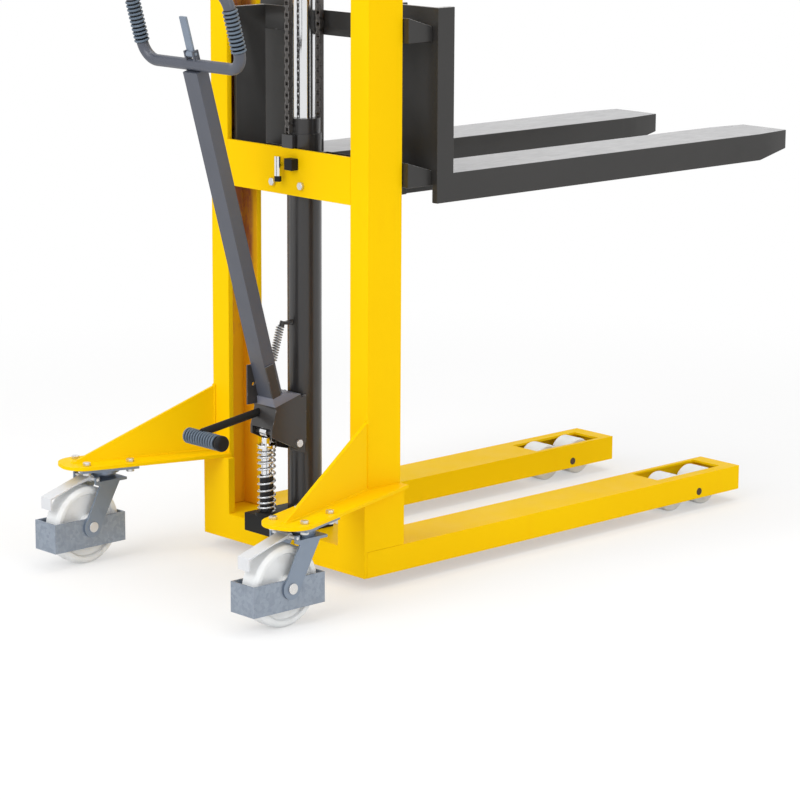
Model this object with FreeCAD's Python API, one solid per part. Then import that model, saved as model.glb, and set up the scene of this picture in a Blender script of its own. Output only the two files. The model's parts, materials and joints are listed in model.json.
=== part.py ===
"""Hand pallet stacker: a welded straddle frame, a chain-lifted fork carriage and a foot or hand pump.

Millimetres. X runs across the machine, Y forward along the forks, Z up from the floor.
Sizes are set with Y counted from the back of the frame; every piece is then moved so that
the middle of the machine's length stands at the origin.
"""
import FreeCAD, Part
import math
import os

# General
plate = 8.0                    # thickness of the welded frame plates
sheet_wall = 6.0               # wall of the folded legs
run_gap = 0.3                  # running clearance round pins, axles and moving faces
overrun = 5.0                  # how far a cutting shape reaches past the face it cuts
bolt_radius = 6.0
bolt_head_radius = 9.5
bolt_head_height = 7.5

# Frame and legs
base_width = 560.0
ground_gap = 30.0
leg_height = 60.0
leg_width = 128.0
leg_tip_y = 1262.0
base_depth = 130.0
tower_lip = 19.0               # raised ends' rear plates reach past the mast's flanges

# Roller windows and rocking bogies at the leg tips
load_roller_radius = 46.0
load_roller_width = 60.0
load_roller_edge = 4.0
bogie_y = 1114.0
bogie_pin_rise = 1.0           # rocking pin above the roller axles
bogie_pin_radius = 9.0
bogie_pin_gap = 2.0            # between the rocking pin and the rollers
bogie_axle_radius = 9.0
bogie_cheek = 8.0
bogie_side_gap = 1.5
bogie_edge_radius = 17.0
window_margin = 5.0            # free space before the rollers in the leg's top
window_margin_rear = 18.0      # and behind them
window_rim_outer = 30.0
window_rim_inner = 12.0
pin_stand_out = 4.0
bogie_pin_stand_out = 1.0

# Mast
mast_inset = 13.0              # mast's sides in from the frame's sides
mast_rear_y = 19.0
mast_depth = 101.0
mast_flange_width = 58.0
mast_flange = 14.0
mast_web = 8.0
mast_top = 2026.0
mid_beam_bottom = 859.0
mid_beam_height = 105.0
top_beam_height = 76.0

# Caster brackets
bracket_splay = 17.8           # degrees, outwards to the rear
bracket_half_width = 60.0
bracket_nose = 103.0           # from the swivel axis to the rounded end
bracket_corner = 52.0
gusset_height = 153.0
gusset_nose_left = 26.0        # bare plate left behind the gusset
swivel_x = 348.0
swivel_y = -244.0

# Casters
wheel_radius = 90.0
wheel_width = 50.0
wheel_edge = 7.0
wheel_hub_radius = 26.0
wheel_recess = 6.0
wheel_rim = 16.0
caster_trail = 63.0
caster_axle_radius = 8.0
caster_axle_head = 4.0
caster_plate_length = 138.0
caster_plate_width = 109.0
caster_plate = 7.0
caster_bolts_along = 105.0
caster_bolts_across = 78.0
race_radius = 38.0
race_height = 10.0
crown_gap = 6.7                # between the wheel's top and the yoke's crown
yoke_plate = 6.0
yoke_neck_radius = 30.0
yoke_neck_height = 12.0
yoke_half_length = 36.0
yoke_leg = 5.0
yoke_leg_front = 18.0          # leg's front edge before the swivel axis, at the crown
yoke_leg_width = 54.0
yoke_foot_radius = 24.0
guard_wall = 4.0
guard_side_gap = 9.0           # between the wheel's sides and the guard
guard_end_gap = 6.0            # between the tread and the guard's ends
guard_drop = 48.0              # guard's lower edge under the axle
guard_height = 68.0
guard_set_back = 4.0
brake_pin_back = 48.0          # from the swivel axis back to the pedal's hinge
brake_pin_rise = 5.0           # pedal's hinge above the crown
brake_pin_radius = 4.0
brake_width = 36.0
brake_plate = 4.0
brake_reach = 46.0             # from the hinge back to the pedal's bend
brake_drop = 12.0
brake_end_reach = 112.0        # and to its lip
brake_end_drop = 34.0
brake_lip = 24.0
brake_ear = 6.0

# Hydraulic unit
block_width = 110.0
block_tail = 20.0              # block behind the pump's axis
block_height = 42.0
cylinder_radius = 39.0
cylinder_above_beam = 65.0
cylinder_gland_height = 34.0
cylinder_gland_step = 3.0
saddle_half_width = 70.0
saddle_height = 44.0
saddle_bolt_spacing = 97.0
saddle_bolt_rise = 25.0        # bolts above the beam's lower edge
ram_radius = 25.0
ram_foot = 60.0                # ram's lower end above the cylinder's foot when fully down

# Lift
low_clear = 4.0                # carriage above the frame when fully down
ram_clear = 6.0                # crosshead above the gland when fully down
chain_width = 16.0
chain_depth = 11.0
chain_gap = 1.5                # between the cylinder and the chain
chain_front_gap = 2.5          # between the chain and the carriage bars
sheave_width = 24.0
sheave_flange = 3.5
sheave_pin_radius = 11.0
yoke_cheek = 8.0
crosshead_height = 18.0
anchor_height = 30.0
anchor_width = 36.0

# Carriage and forks
fork_side_gap = 12.0           # between a leg's sides and the fork that nests over it
fork_depth = 65.0
fork_top_z = 920.0
fork_wall = 8.0
fork_length = 1150.0
fork_tip_length = 110.0
fork_tip_taper = 14.0
fork_tip_end = 46.0
post_width = 17.0
post_depth = 50.0
back_height = 365.0            # shank above the fork's top
bar_depth = 72.0
bar_drop = 26.0                # lower bar's underside below the fork's top
bar_rear_height = 55.0
bar_front_height = 33.0
bar_gap = 3.0                  # between the mast's front and the carriage bars
upper_bar_drop = 20.0
roller_plate = 10.0
roller_plate_gap = 3.0
roller_plate_rear_margin = 4.0
mast_roller_radius = 36.0
mast_roller_width = 38.0
mast_roller_edge = 2.3
mast_roller_axle_radius = 12.0
mast_roller_inset = 46.0       # roller axis from the ends of its plate
mast_roller_side_gap = 0.8

# Pump and its lever, placed from the lever's pin
pump_seat_lip = 4.5
pump_seat_height = 9.0
pump_barrel_radius = 15.7
pump_barrel_height = 95.0
plunger_radius = 12.0
plunger_foot = 18.0
collar_lip = 1.0
collar_height = 8.0
collar_drop = 24.0             # spring's seat below the plunger's head
pump_spring_wire = 2.5
pump_spring_clear = 0.8        # between the barrel and the coils
pump_spring_turns = 10.5
pressure_roller_radius = 12.0
pressure_roller_width = 22.0
pressure_pin_radius = 6.0
plunger_rise = 18.0            # plunger's head above the lever's pin
lever_reach = 65.0             # from the lever's pin back to the pump
lever_clear = 2.0              # between the lever's pin and the cylinder
lever_pin_rise = 164.0         # lever's pin above the block
lever_pin_radius = 9.0
lever_cheek = 7.0
lever_side_gap = 1.5
lever_boss = 15.0
lever_cheek_front = 22.0       # cheeks' front edge before the lever's pin
lever_back_plate = 6.0
ear_plate = 6.0
ear_gap = 1.0
ear_half_height = 34.0
ear_rear = 16.0
head_front = 57.0              # head plate's front edge before the tiller's middle
collar_rise = 18.0             # sloping collar round the tiller's foot
collar_rim = 3.0
socket_reach = 94.0            # side plates' reach along the tiller
socket_plate = 4.0
socket_front = 8.0             # right side plate's front edge before the tiller's middle
socket_wall = 6.0
fin_back = 35.0                # left side plate behind the tiller's foot
fin_hole_radius = 4.0
tiller_side_gap = 0.3
tiller_depth = 32.0
tiller_wall = 3.0
tiller_foot_back = 49.0
tiller_foot_rise = 98.0
tiller_lean = 15.6             # degrees
tiller_length = 790.0
handle_width = 330.0
handle_height = 190.0
handle_tube_radius = 13.0
handle_corner = 40.0
handle_grip_radius = 17.0
pedal_arm_radius = 9.0
pedal_arm_x = -22.0
pedal_arm_rise = 74.0          # arm's root above the lever's pin
pedal_arm_above = 14.0         # arm's end above the grip's axis
pedal_core_radius = 8.0
pedal_grip_radius = 18.0
pedal_grip_length = 125.0
pedal_grip_x = -9.0
pedal_grip_edge = 4.5
pedal_end_cap = 8.0
pedal_reach = 234.0
pedal_rise = 36.0
release_width = 22.0
release_thickness = 6.0
release_length = 84.0
release_pin_radius = 4.0
release_pin_height = 12.0      # lever's hinge above the loop's lower tube
release_lug = 5.0
return_spring_radius = 8.0
return_spring_wire = 1.6
return_spring_turns = 7.0
return_plug = 9.0              # how far a plug reaches into the spring
return_lug = 8.0
return_lug_half = 7.0
return_along = 85.0            # spring's lower end, up from the tiller's foot
return_stand_off = 6.0
return_reach = 28.0            # spring's upper end behind the cylinder
return_rise = 272.0            # spring's upper end above the lever's pin

# Fittings on the mid beam
peg_x = -14.0
peg_radius = 8.0
peg_height = 44.0
peg_below_top = 18.0           # peg's head below the beam's upper edge
peg_arm = 6.0
peg_tip_height = 13.0
peg_stand_off = 16.0
stop_x = 24.0
stop_width = 26.0
stop_depth = 20.0
stop_height = 26.0
stop_rise = 59.0               # block's underside above the beam's lower edge

# Places that follow from the sizes above
leg_top = ground_gap + leg_height
half_base = base_width / 2
leg_inner = half_base - leg_width
leg_mid = half_base - leg_width / 2
bogie_pitch = 2 * (load_roller_radius + bogie_pin_radius + bogie_pin_gap)
bogie_pin_z = load_roller_radius + bogie_pin_rise
mast_half_width = half_base - mast_inset
mast_front_y = mast_rear_y + mast_depth
mast_inner = mast_half_width - mast_flange_width
mast_mid_y = mast_rear_y + mast_depth / 2
bar_rear_y = mast_front_y + bar_gap
post_rear_y = bar_rear_y + bar_depth
post_front_y = post_rear_y + post_depth
fork_outer = half_base + fork_side_gap + fork_wall
fork_inner = leg_inner - fork_side_gap - fork_wall
fork_bottom = fork_top_z - fork_depth
fork_tip_y = post_front_y + fork_length
bar_bottom = fork_top_z - bar_drop
post_top = fork_top_z + back_height
roller_plate_outer = mast_inner - roller_plate_gap
crown_bottom = 2 * wheel_radius + crown_gap
yoke_top = crown_bottom + yoke_plate
neck_top = yoke_top + yoke_neck_height
race_bottom = neck_top + run_gap
caster_plate_bottom = race_bottom + race_height
tower_top = caster_plate_bottom + caster_plate
bracket_bottom = tower_top
bracket_top = tower_top + plate
gusset_top = bracket_top + gusset_height
wheel_y = swivel_y - caster_trail
guard_y = wheel_y - guard_set_back
guard_half_width = wheel_width / 2 + guard_side_gap + guard_wall
guard_half_length = wheel_radius + guard_end_gap + guard_wall
guard_bottom = wheel_radius - guard_drop
brake_pin_z = yoke_top + brake_pin_rise
block_top = leg_top + block_height
sheave_radius = cylinder_radius + chain_gap + chain_depth / 2
cylinder_y = bar_rear_y - chain_front_gap - chain_depth / 2 - sheave_radius
cylinder_rear_y = cylinder_y - cylinder_radius
beam_top = mid_beam_bottom + mid_beam_height
cylinder_top = beam_top + cylinder_above_beam
lift_down = bar_bottom - leg_top - low_clear
sheave_z = cylinder_top + ram_clear + crosshead_height + sheave_radius + lift_down / 2
pump_spring_radius = pump_barrel_radius + pump_spring_clear + pump_spring_wire
collar_radius = pump_spring_radius + pump_spring_wire + collar_lip
pump_seat_radius = pump_spring_radius + pump_spring_wire + pump_seat_lip
lever_half_gap = collar_radius + lever_side_gap
tiller_width = 2 * (lever_half_gap - tiller_side_gap)
cheek_inner = lever_half_gap + ear_plate + ear_gap
cheek_outer = cheek_inner + lever_cheek
lever_pin_y = cylinder_rear_y - lever_clear - lever_pin_radius
lever_pin_z = block_top + lever_pin_rise
pump_y = lever_pin_y - lever_reach
plunger_top_z = lever_pin_z + plunger_rise
collar_z = plunger_top_z - collar_drop
tiller_foot_y = lever_pin_y - tiller_foot_back
tiller_foot_z = lever_pin_z + tiller_foot_rise
tiller_angle = math.radians(tiller_lean)
pedal_y = lever_pin_y - pedal_reach
pedal_z = lever_pin_z + pedal_rise
origin_y = (fork_tip_y + guard_y - guard_half_length) / 2


def vec(x, y, z):
    return FreeCAD.Vector(x, y, z)


def box(x, y, z):
    """Block between pairs of limits along X, Y and Z."""
    return Part.makeBox(x[1] - x[0], y[1] - y[0], z[1] - z[0], vec(x[0], y[0], z[0]))


def both_sides(low, high, y, z):
    """The same block on the left and the right, as two solids."""
    return [box((low, high), y, z), box((-high, -low), y, z)]


def rod(start, axis, radius, length):
    return Part.makeCylinder(radius, length, start, axis)


def cross_rod(x, y, z, radius):
    """Round bar along X between two limits."""
    return rod(vec(x[0], y, z), vec(1, 0, 0), radius, x[1] - x[0])


def sheet_yz(points, x):
    """Flat plate with an outline of (y, z) points between two X limits."""
    wire = Part.makePolygon([vec(x[0], y, z) for y, z in points + points[:1]])
    return Part.Face(wire).extrude(vec(x[1] - x[0], 0, 0))


def sheet_xy(points, z):
    wire = Part.makePolygon([vec(x, y, z[0]) for x, y in points + points[:1]])
    return Part.Face(wire).extrude(vec(0, 0, z[1] - z[0]))


def tapered(rings):
    """Solid between two four-cornered flat rings whose sides are parallel in pairs."""
    low, high = rings
    outlines = [low, high] + [[low[i - 1], low[i], high[i], high[i - 1]] for i in range(len(low))]
    faces = [Part.Face(Part.makePolygon(corners + corners[:1])) for corners in outlines]
    solid = Part.Solid(Part.Shell(faces))
    return solid if solid.Volume > 0 else solid.reversed()


def fused(shapes):
    return shapes[0].multiFuse(shapes[1:]).removeSplitter()


def mirrored(shape):
    return shape.mirror(vec(0, 0, 0), vec(1, 0, 0))


def link_plate(y, z, reach, radius, x):
    """Straight plate with round ends, centred on (y, z), its end centres `reach` apart along Y."""
    half = reach / 2
    top = Part.LineSegment(vec(x[0], y - half, z + radius), vec(x[0], y + half, z + radius))
    front = Part.Arc(vec(x[0], y + half, z + radius), vec(x[0], y + half + radius, z),
                     vec(x[0], y + half, z - radius))
    low = Part.LineSegment(vec(x[0], y + half, z - radius), vec(x[0], y - half, z - radius))
    back = Part.Arc(vec(x[0], y - half, z - radius), vec(x[0], y - half - radius, z),
                    vec(x[0], y - half, z + radius))
    wire = Part.Wire([part.toShape() for part in (top, front, low, back)])
    return Part.Face(wire).extrude(vec(x[1] - x[0], 0, 0))


def revolved(profile, centre, axis, across):
    """Solid of revolution from (radius, place along the axis) points."""
    points = [centre + across * r + axis * s for r, s in profile]
    face = Part.Face(Part.makePolygon(points + points[:1]))
    return face.revolve(centre, axis, 360)


def hex_bolt(place, axis, length, radius, head_radius, head_height):
    """Hexagon head bolt, its head's seat at `place` and its shank along `axis`."""
    side = vec(1, 0, 0) if abs(axis.x) < abs(axis.z) else vec(0, 0, 1)
    if abs(axis.y) > abs(axis.x) + abs(axis.z):
        side = vec(1, 0, 0)
    other = axis.cross(side)
    count = 6
    corners = []
    for i in range(count):
        turn = 2 * math.pi * i / count
        corners.append(place + side * (head_radius * math.cos(turn)) + other * (head_radius * math.sin(turn)))
    head = Part.Face(Part.makePolygon(corners + corners[:1])).extrude(axis * -head_height)
    return head.fuse(rod(place, axis, radius, length)).removeSplitter()


def helix_tube(start, axis, across, radius, height, turns, wire):
    """Coil spring as one unbroken tube on biarcs, two for each half turn."""
    other = axis.cross(across)
    steps = int(round(turns * 2))
    rise = height / (2 * math.pi * turns)

    def point(turn):
        ring = across * (radius * math.cos(turn)) + other * (radius * math.sin(turn))
        return start + ring + axis * (rise * turn)

    def tangent(turn):
        way = across * (-radius * math.sin(turn)) + other * (radius * math.cos(turn)) + axis * rise
        return way.normalize()

    edges = []
    for i in range(steps):
        t0, t1 = [2 * math.pi * turns * k / steps for k in (i, i + 1)]
        p0, p1, d0, d1 = point(t0), point(t1), tangent(t0), tangent(t1)
        chord, both = p1 - p0, d0 + d1
        spread = 2 - 2 * d0.dot(d1)
        along = chord.dot(both)
        reach = (-along + math.sqrt(along * along + spread * chord.dot(chord))) / spread
        knee0, knee1 = p0 + d0 * reach, p1 - d1 * reach
        joint = (knee0 + knee1) / 2
        for a, knee, b in ((p0, knee0, joint), (joint, knee1, p1)):
            middle = (a + b) / 2
            half = (b - a).Length / 2
            rise_to_knee = (knee - middle).Length
            bulge = half * math.tan(math.atan2(rise_to_knee, half) / 2)
            edges.append(Part.Arc(a, middle + (knee - middle) * (bulge / rise_to_knee), b).toShape())
    path = Part.Wire(edges)
    ring = Part.Wire(Part.Circle(point(0), tangent(0), wire).toShape())
    tube = Part.BRepOffsetAPI.MakePipeShell(path)
    tube.add(ring)
    tube.build()
    tube.makeSolid()
    print("least gap between turns %.2f mm" % (least_turn_gap(point, turns) - 2 * wire))
    return tube.shape()


def least_turn_gap(point, turns):
    """Least distance between points of the wire's middle line that lie about one turn apart."""
    per_turn = 24
    count = int(turns * per_turn)
    line = [point(2 * math.pi * i / per_turn) for i in range(count + 1)]
    near, far = per_turn // 2, per_turn + per_turn // 2
    return min((line[j] - line[i]).Length
               for i in range(count) for j in range(i + near, min(i + far, count + 1)))


def save(name, shape):
    """Writes one piece, or a group of like pieces, with the machine's middle at the origin."""
    if isinstance(shape, list):
        shape = Part.makeCompound(shape)
    shape.translated(vec(0, -origin_y, 0)).exportStep("parts/%s.step" % name)


def save_pair(name, right):
    save(name + "_right", right)
    save(name + "_left", mirrored(right))


# Frame

def rear_frame():
    """Cross-member between the legs, with a raised end at each side for the mast and the caster bracket."""
    low, deck = ground_gap, (leg_top - plate, leg_top)
    walls = [box((-half_base, half_base), (0, plate), (low, leg_top)),
             box((-leg_inner, leg_inner), (plate, base_depth), deck),
             box((-leg_inner, leg_inner), (base_depth - plate, base_depth), (low, deck[0]))]
    raised = (leg_top, tower_top)
    walls += both_sides(mast_inner - tower_lip, half_base, (0, plate), raised)
    walls += both_sides(mast_inner - tower_lip, mast_inner + plate, (plate, mast_rear_y), raised)
    walls += both_sides(half_base - plate, half_base, (plate, mast_front_y), raised)
    return fused(walls)


def leg():
    """Folded channel, open below, with a window over the two load rollers and a closed tip."""
    outside = box((leg_inner, half_base), (plate, leg_tip_y), (ground_gap, leg_top))
    inside = box((leg_inner + sheet_wall, half_base - sheet_wall),
                 (plate - overrun, leg_tip_y - sheet_wall), (ground_gap - overrun, leg_top - sheet_wall))
    half_window = bogie_pitch / 2 + load_roller_radius
    window = box((leg_inner + window_rim_inner, half_base - window_rim_outer),
                 (bogie_y - half_window - window_margin_rear, bogie_y + half_window + window_margin),
                 (leg_top - sheet_wall - overrun, leg_top + overrun))
    pin = cross_rod((leg_inner - overrun, half_base + overrun), bogie_y, bogie_pin_z, bogie_pin_radius)
    return outside.cut(inside).cut(window).cut(pin)


def mast_upright():
    """Rolled channel, open towards the middle, in which the carriage's rollers run."""
    outside = box((mast_inner, mast_half_width), (mast_rear_y, mast_front_y), (leg_top, mast_top))
    track = box((mast_inner - overrun, mast_half_width - mast_web),
                (mast_rear_y + mast_flange, mast_front_y - mast_flange),
                (leg_top - overrun, mast_top + overrun))
    return outside.cut(track)


def mid_beam():
    """Plate between the rear flanges, to which the lift cylinder is bolted."""
    bar = box((-mast_inner, mast_inner), (mast_rear_y, mast_rear_y + plate),
              (mid_beam_bottom, beam_top))
    for side in (-1, 1):
        bar = bar.cut(rod(vec(side * saddle_bolt_spacing / 2, mast_rear_y - overrun, saddle_bolt_z()),
                          vec(0, 1, 0), bolt_radius + run_gap, plate + 2 * overrun))
    return bar


def saddle_bolt_z():
    return mid_beam_bottom + saddle_bolt_rise


def top_beam():
    """Box tie across the mast's head, open below."""
    low = mast_top - top_beam_height
    outside = box((-mast_inner, mast_inner), (mast_rear_y, mast_front_y), (low, mast_top))
    inside = box((-mast_inner - overrun, mast_inner + overrun), (mast_rear_y + plate, mast_front_y - plate),
                 (low - overrun, mast_top - plate))
    return outside.cut(inside)


def splay_frame():
    """Unit directions along the bracket to the rear, and across it outwards."""
    turn = math.radians(bracket_splay)
    return vec(math.sin(turn), -math.cos(turn), 0), vec(math.cos(turn), math.sin(turn), 0)


def bracket_edge_x(side, y):
    """X of the bracket strip's outer (side 1), inner (side -1) or middle line (side 0) at a given Y."""
    along, across = splay_frame()
    edge = vec(swivel_x, swivel_y, 0) + across * (side * bracket_half_width)
    return edge.x + along.x * (y - edge.y) / along.y


def caster_bolt_places():
    along, across = splay_frame()
    middle = vec(swivel_x, swivel_y, 0)
    return [middle + along * (a * caster_bolts_along / 2) + across * (b * caster_bolts_across / 2)
            for a in (-1, 1) for b in (-1, 1)]


def bracket_strip():
    """Splayed strip with a rounded nose, notched round the foot of the upright."""
    along, across = splay_frame()
    middle = vec(swivel_x, swivel_y, bracket_bottom)
    nose = middle + along * bracket_nose
    half, corner = bracket_half_width, bracket_corner
    dip = corner * (1 - math.cos(math.pi / 4))
    outer_end = vec(bracket_edge_x(1, mast_front_y), mast_front_y, bracket_bottom)
    inner_end = vec(bracket_edge_x(-1, mast_rear_y), mast_rear_y, bracket_bottom)

    def at(back, side):
        return nose - along * back + across * side

    edges = [Part.LineSegment(outer_end, at(corner, half)),
             Part.Arc(at(corner, half), at(dip, half - dip), at(0, half - corner)),
             Part.LineSegment(at(0, half - corner), at(0, corner - half)),
             Part.Arc(at(0, corner - half), at(dip, dip - half), at(corner, -half)),
             Part.LineSegment(at(corner, -half), inner_end)]
    notch = [inner_end, vec(mast_half_width, mast_rear_y, bracket_bottom),
             vec(mast_half_width, mast_front_y, bracket_bottom), outer_end]
    wire = Part.Wire([edge.toShape() for edge in edges] + Part.makePolygon(notch).Edges)
    return Part.Face(wire).extrude(vec(0, 0, plate))


def caster_bracket():
    """Strip that carries the caster, stiffened by a sloping gusset from the mast's outer corner."""
    along, across = splay_frame()
    strip = bracket_strip()
    for place in caster_bolt_places():
        start = vec(place.x, place.y, bracket_bottom - overrun)
        strip = strip.cut(rod(start, vec(0, 0, 1), bolt_radius + run_gap, plate + 2 * overrun))
    foot = vec(bracket_edge_x(0, mast_rear_y), mast_rear_y, bracket_top)
    tip = vec(swivel_x, swivel_y, bracket_top) + along * (bracket_nose - gusset_nose_left)
    front = foot - along * mast_rear_y
    rise = vec(0, 0, gusset_top - bracket_top)
    side = across * (-plate / 2)
    outline = [front + side, tip + side, foot + rise + side, front + rise + side]
    gusset = Part.Face(Part.makePolygon(outline + outline[:1])).extrude(across * plate)
    reach = base_width
    keep = box((0, swivel_x + reach), (swivel_y - reach, mast_rear_y), (bracket_top, gusset_top + overrun))
    return strip.fuse(gusset.common(keep)).removeSplitter()


# Load rollers

def bogie():
    """Two cheeks on riveted axles; the pair rocks on a pin through the leg."""
    inner = load_roller_width / 2 + bogie_side_gap
    solids = []
    for side in (-1, 1):
        low = leg_mid + side * inner
        high = low + side * bogie_cheek
        solids.append(link_plate(bogie_y, load_roller_radius, bogie_pitch, bogie_edge_radius,
                                 (min(low, high), max(low, high))))
    outer = inner + bogie_cheek
    for side in (-1, 1):
        solids.append(cross_rod((leg_mid - outer, leg_mid + outer), bogie_y + side * bogie_pitch / 2,
                                load_roller_radius, bogie_axle_radius))
    body = fused(solids)
    return body.cut(cross_rod((leg_mid - leg_width, leg_mid + leg_width), bogie_y, bogie_pin_z,
                              bogie_pin_radius + run_gap))


def load_roller(end):
    """Nylon roller with bevelled rims."""
    half, rim = load_roller_width / 2, load_roller_radius
    edge = load_roller_edge
    bore = bogie_axle_radius + run_gap
    profile = [(bore, -half), (rim - edge, -half), (rim, -half + edge),
               (rim, half - edge), (rim - edge, half), (bore, half)]
    centre = vec(leg_mid, bogie_y + end * bogie_pitch / 2, load_roller_radius)
    return revolved(profile, centre, vec(1, 0, 0), vec(0, 0, 1))


def bogie_pin():
    out = bogie_pin_stand_out
    return cross_rod((leg_inner - out, half_base + out), bogie_y, bogie_pin_z, bogie_pin_radius)


# Casters

def caster_plate_piece():
    """Fixed upper half of the swivel: bolted plate and bearing race."""
    along, across = splay_frame()
    middle = vec(swivel_x, swivel_y, caster_plate_bottom)
    corners = [middle + along * (a * caster_plate_length / 2) + across * (b * caster_plate_width / 2)
               for a, b in ((-1, -1), (1, -1), (1, 1), (-1, 1))]
    body = Part.Face(Part.makePolygon(corners + corners[:1])).extrude(vec(0, 0, caster_plate))
    body = body.fuse(rod(vec(swivel_x, swivel_y, race_bottom), vec(0, 0, 1), race_radius, race_height))
    for place in caster_bolt_places():
        start = vec(place.x, place.y, race_bottom)
        body = body.cut(rod(start, vec(0, 0, 1), bolt_radius + run_gap, race_height + caster_plate + overrun))
    return body.removeSplitter()


def caster_yoke():
    """Swivelling fork: neck, crown plate and two raked legs outside the foot guard."""
    inner, outer = guard_half_width, guard_half_width + yoke_leg
    crown = box((swivel_x - outer, swivel_x + outer),
                (swivel_y - yoke_half_length, swivel_y + yoke_half_length), (yoke_top - yoke_plate, yoke_top))
    neck = rod(vec(swivel_x, swivel_y, yoke_top), vec(0, 0, 1), yoke_neck_radius, yoke_neck_height)
    front = swivel_y + yoke_leg_front
    outline = [(front, yoke_top), (front - yoke_leg_width, yoke_top),
               (wheel_y - yoke_foot_radius, wheel_radius), (wheel_y + yoke_foot_radius, wheel_radius)]
    ear_y = swivel_y - brake_pin_back
    solids = [crown, neck]
    for side in (-1, 1):
        limits = sorted((swivel_x + side * inner, swivel_x + side * outer))
        solids.append(sheet_yz(outline, limits))
        solids.append(cross_rod(limits, wheel_y, wheel_radius, yoke_foot_radius))
        ear = [(swivel_y, yoke_top), (swivel_y, yoke_top - yoke_leg_width / 2),
               (ear_y - brake_ear, yoke_top - brake_ear), (ear_y - brake_ear, brake_pin_z + brake_ear),
               (ear_y + brake_ear, brake_pin_z + brake_ear), (ear_y + brake_ear, yoke_top)]
        solids.append(sheet_yz(ear, limits))
    body = fused(solids)
    reach = (swivel_x - outer - overrun, swivel_x + outer + overrun)
    body = body.cut(cross_rod(reach, wheel_y, wheel_radius, caster_axle_radius))
    return body.cut(cross_rod(reach, ear_y, brake_pin_z, brake_pin_radius + run_gap))


def foot_guard():
    """Band of flat steel round the wheel, open above and below, held by the axle."""
    half, length = guard_half_width, guard_half_length
    z = (guard_bottom, guard_bottom + guard_height)
    band = box((swivel_x - half, swivel_x + half), (guard_y - length, guard_y + length), z)
    room = box((swivel_x - half + guard_wall, swivel_x + half - guard_wall),
               (guard_y - length + guard_wall, guard_y + length - guard_wall),
               (z[0] - overrun, z[1] + overrun))
    reach = (swivel_x - half - overrun, swivel_x + half + overrun)
    return band.cut(room).cut(cross_rod(reach, wheel_y, wheel_radius, caster_axle_radius))


def caster_axle():
    """Axle bolt with a head and a nut outside the yoke's legs."""
    outer = guard_half_width + yoke_leg
    shank = cross_rod((swivel_x - outer, swivel_x + outer), wheel_y, wheel_radius, caster_axle_radius)
    head = caster_axle_radius + caster_axle_head
    ends = [cross_rod((swivel_x + outer, swivel_x + outer + caster_axle_head), wheel_y, wheel_radius, head),
            cross_rod((swivel_x - outer - caster_axle_head, swivel_x - outer), wheel_y, wheel_radius, head)]
    return fused([shank] + ends)


def caster_wheel():
    """Nylon wheel: rounded tread, raised rim and hub with a dished web between them."""
    half, rim = wheel_width / 2, wheel_radius
    bore = caster_axle_radius + run_gap
    web = half - wheel_recess
    slope = wheel_recess / 2
    hub_half = guard_half_width - guard_wall - run_gap
    face = [(bore, hub_half), (wheel_hub_radius, hub_half), (wheel_hub_radius, web),
            (rim - wheel_rim - slope, web), (rim - wheel_rim, half),
            (rim - wheel_edge, half), (rim, half - wheel_edge)]
    profile = face + [(r, -s) for r, s in reversed(face)]
    return revolved(profile, vec(swivel_x, wheel_y, wheel_radius), vec(1, 0, 0), vec(0, 0, 1))


def brake_pedal():
    """Bent foot lever on a cross pin behind the swivel, over the tread, with a lip at its end."""
    hinge_y = swivel_y - brake_pin_back
    half = brake_width / 2
    bend_y, bend_z = hinge_y - brake_reach, brake_pin_z - brake_drop
    end_y, end_z = hinge_y - brake_end_reach, brake_pin_z - brake_end_drop
    low, lip = brake_pin_z - brake_plate, end_z - brake_lip
    outline = [(hinge_y, low), (hinge_y, brake_pin_z), (hinge_y - brake_ear, brake_pin_z + brake_plate),
               (bend_y, bend_z + brake_plate), (end_y - brake_plate, end_z + brake_plate),
               (end_y - brake_plate, lip), (end_y, lip), (end_y, end_z), (bend_y, bend_z),
               (hinge_y - brake_ear, low)]
    tread = sheet_yz(outline, (swivel_x - half, swivel_x + half))
    pin = cross_rod((swivel_x - guard_half_width - yoke_leg, swivel_x + guard_half_width + yoke_leg),
                    hinge_y, brake_pin_z, brake_pin_radius)
    tube = cross_rod((swivel_x - half, swivel_x + half), hinge_y, brake_pin_z, brake_pin_radius + brake_plate)
    return fused([tread, tube, pin])


def frame_bolts():
    """Bolts of the caster plates and of the cylinder's saddle."""
    grip = plate + caster_plate
    bolts = []
    for place in caster_bolt_places():
        for side in (-1, 1):
            top = vec(side * place.x, place.y, bracket_top)
            bolt = hex_bolt(top, vec(0, 0, -1), grip, bolt_radius, bolt_head_radius, bolt_head_height)
            nut = rod(top - vec(0, 0, grip), vec(0, 0, -1), bolt_head_radius, bolt_head_height)
            bolts.append(bolt.fuse(nut))
    for side in (-1, 1):
        rear = vec(side * saddle_bolt_spacing / 2, mast_rear_y, saddle_bolt_z())
        bolts.append(hex_bolt(rear, vec(0, 1, 0), 2 * plate, bolt_radius, bolt_head_radius, bolt_head_height))
    return bolts


# Hydraulic unit

def pump_block():
    """Cast foot of the hydraulic unit, standing on the frame and reaching out behind it."""
    foot = box((-block_width / 2, block_width / 2), (pump_y - block_tail, cylinder_y + cylinder_radius),
               (leg_top, block_top))
    seat = rod(vec(0, pump_y, block_top), vec(0, 0, 1), pump_seat_radius, pump_seat_height)
    bore = rod(vec(0, pump_y, block_top), vec(0, 0, 1), pump_barrel_radius, pump_seat_height + overrun)
    return foot.fuse(seat).cut(bore).removeSplitter()


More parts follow.
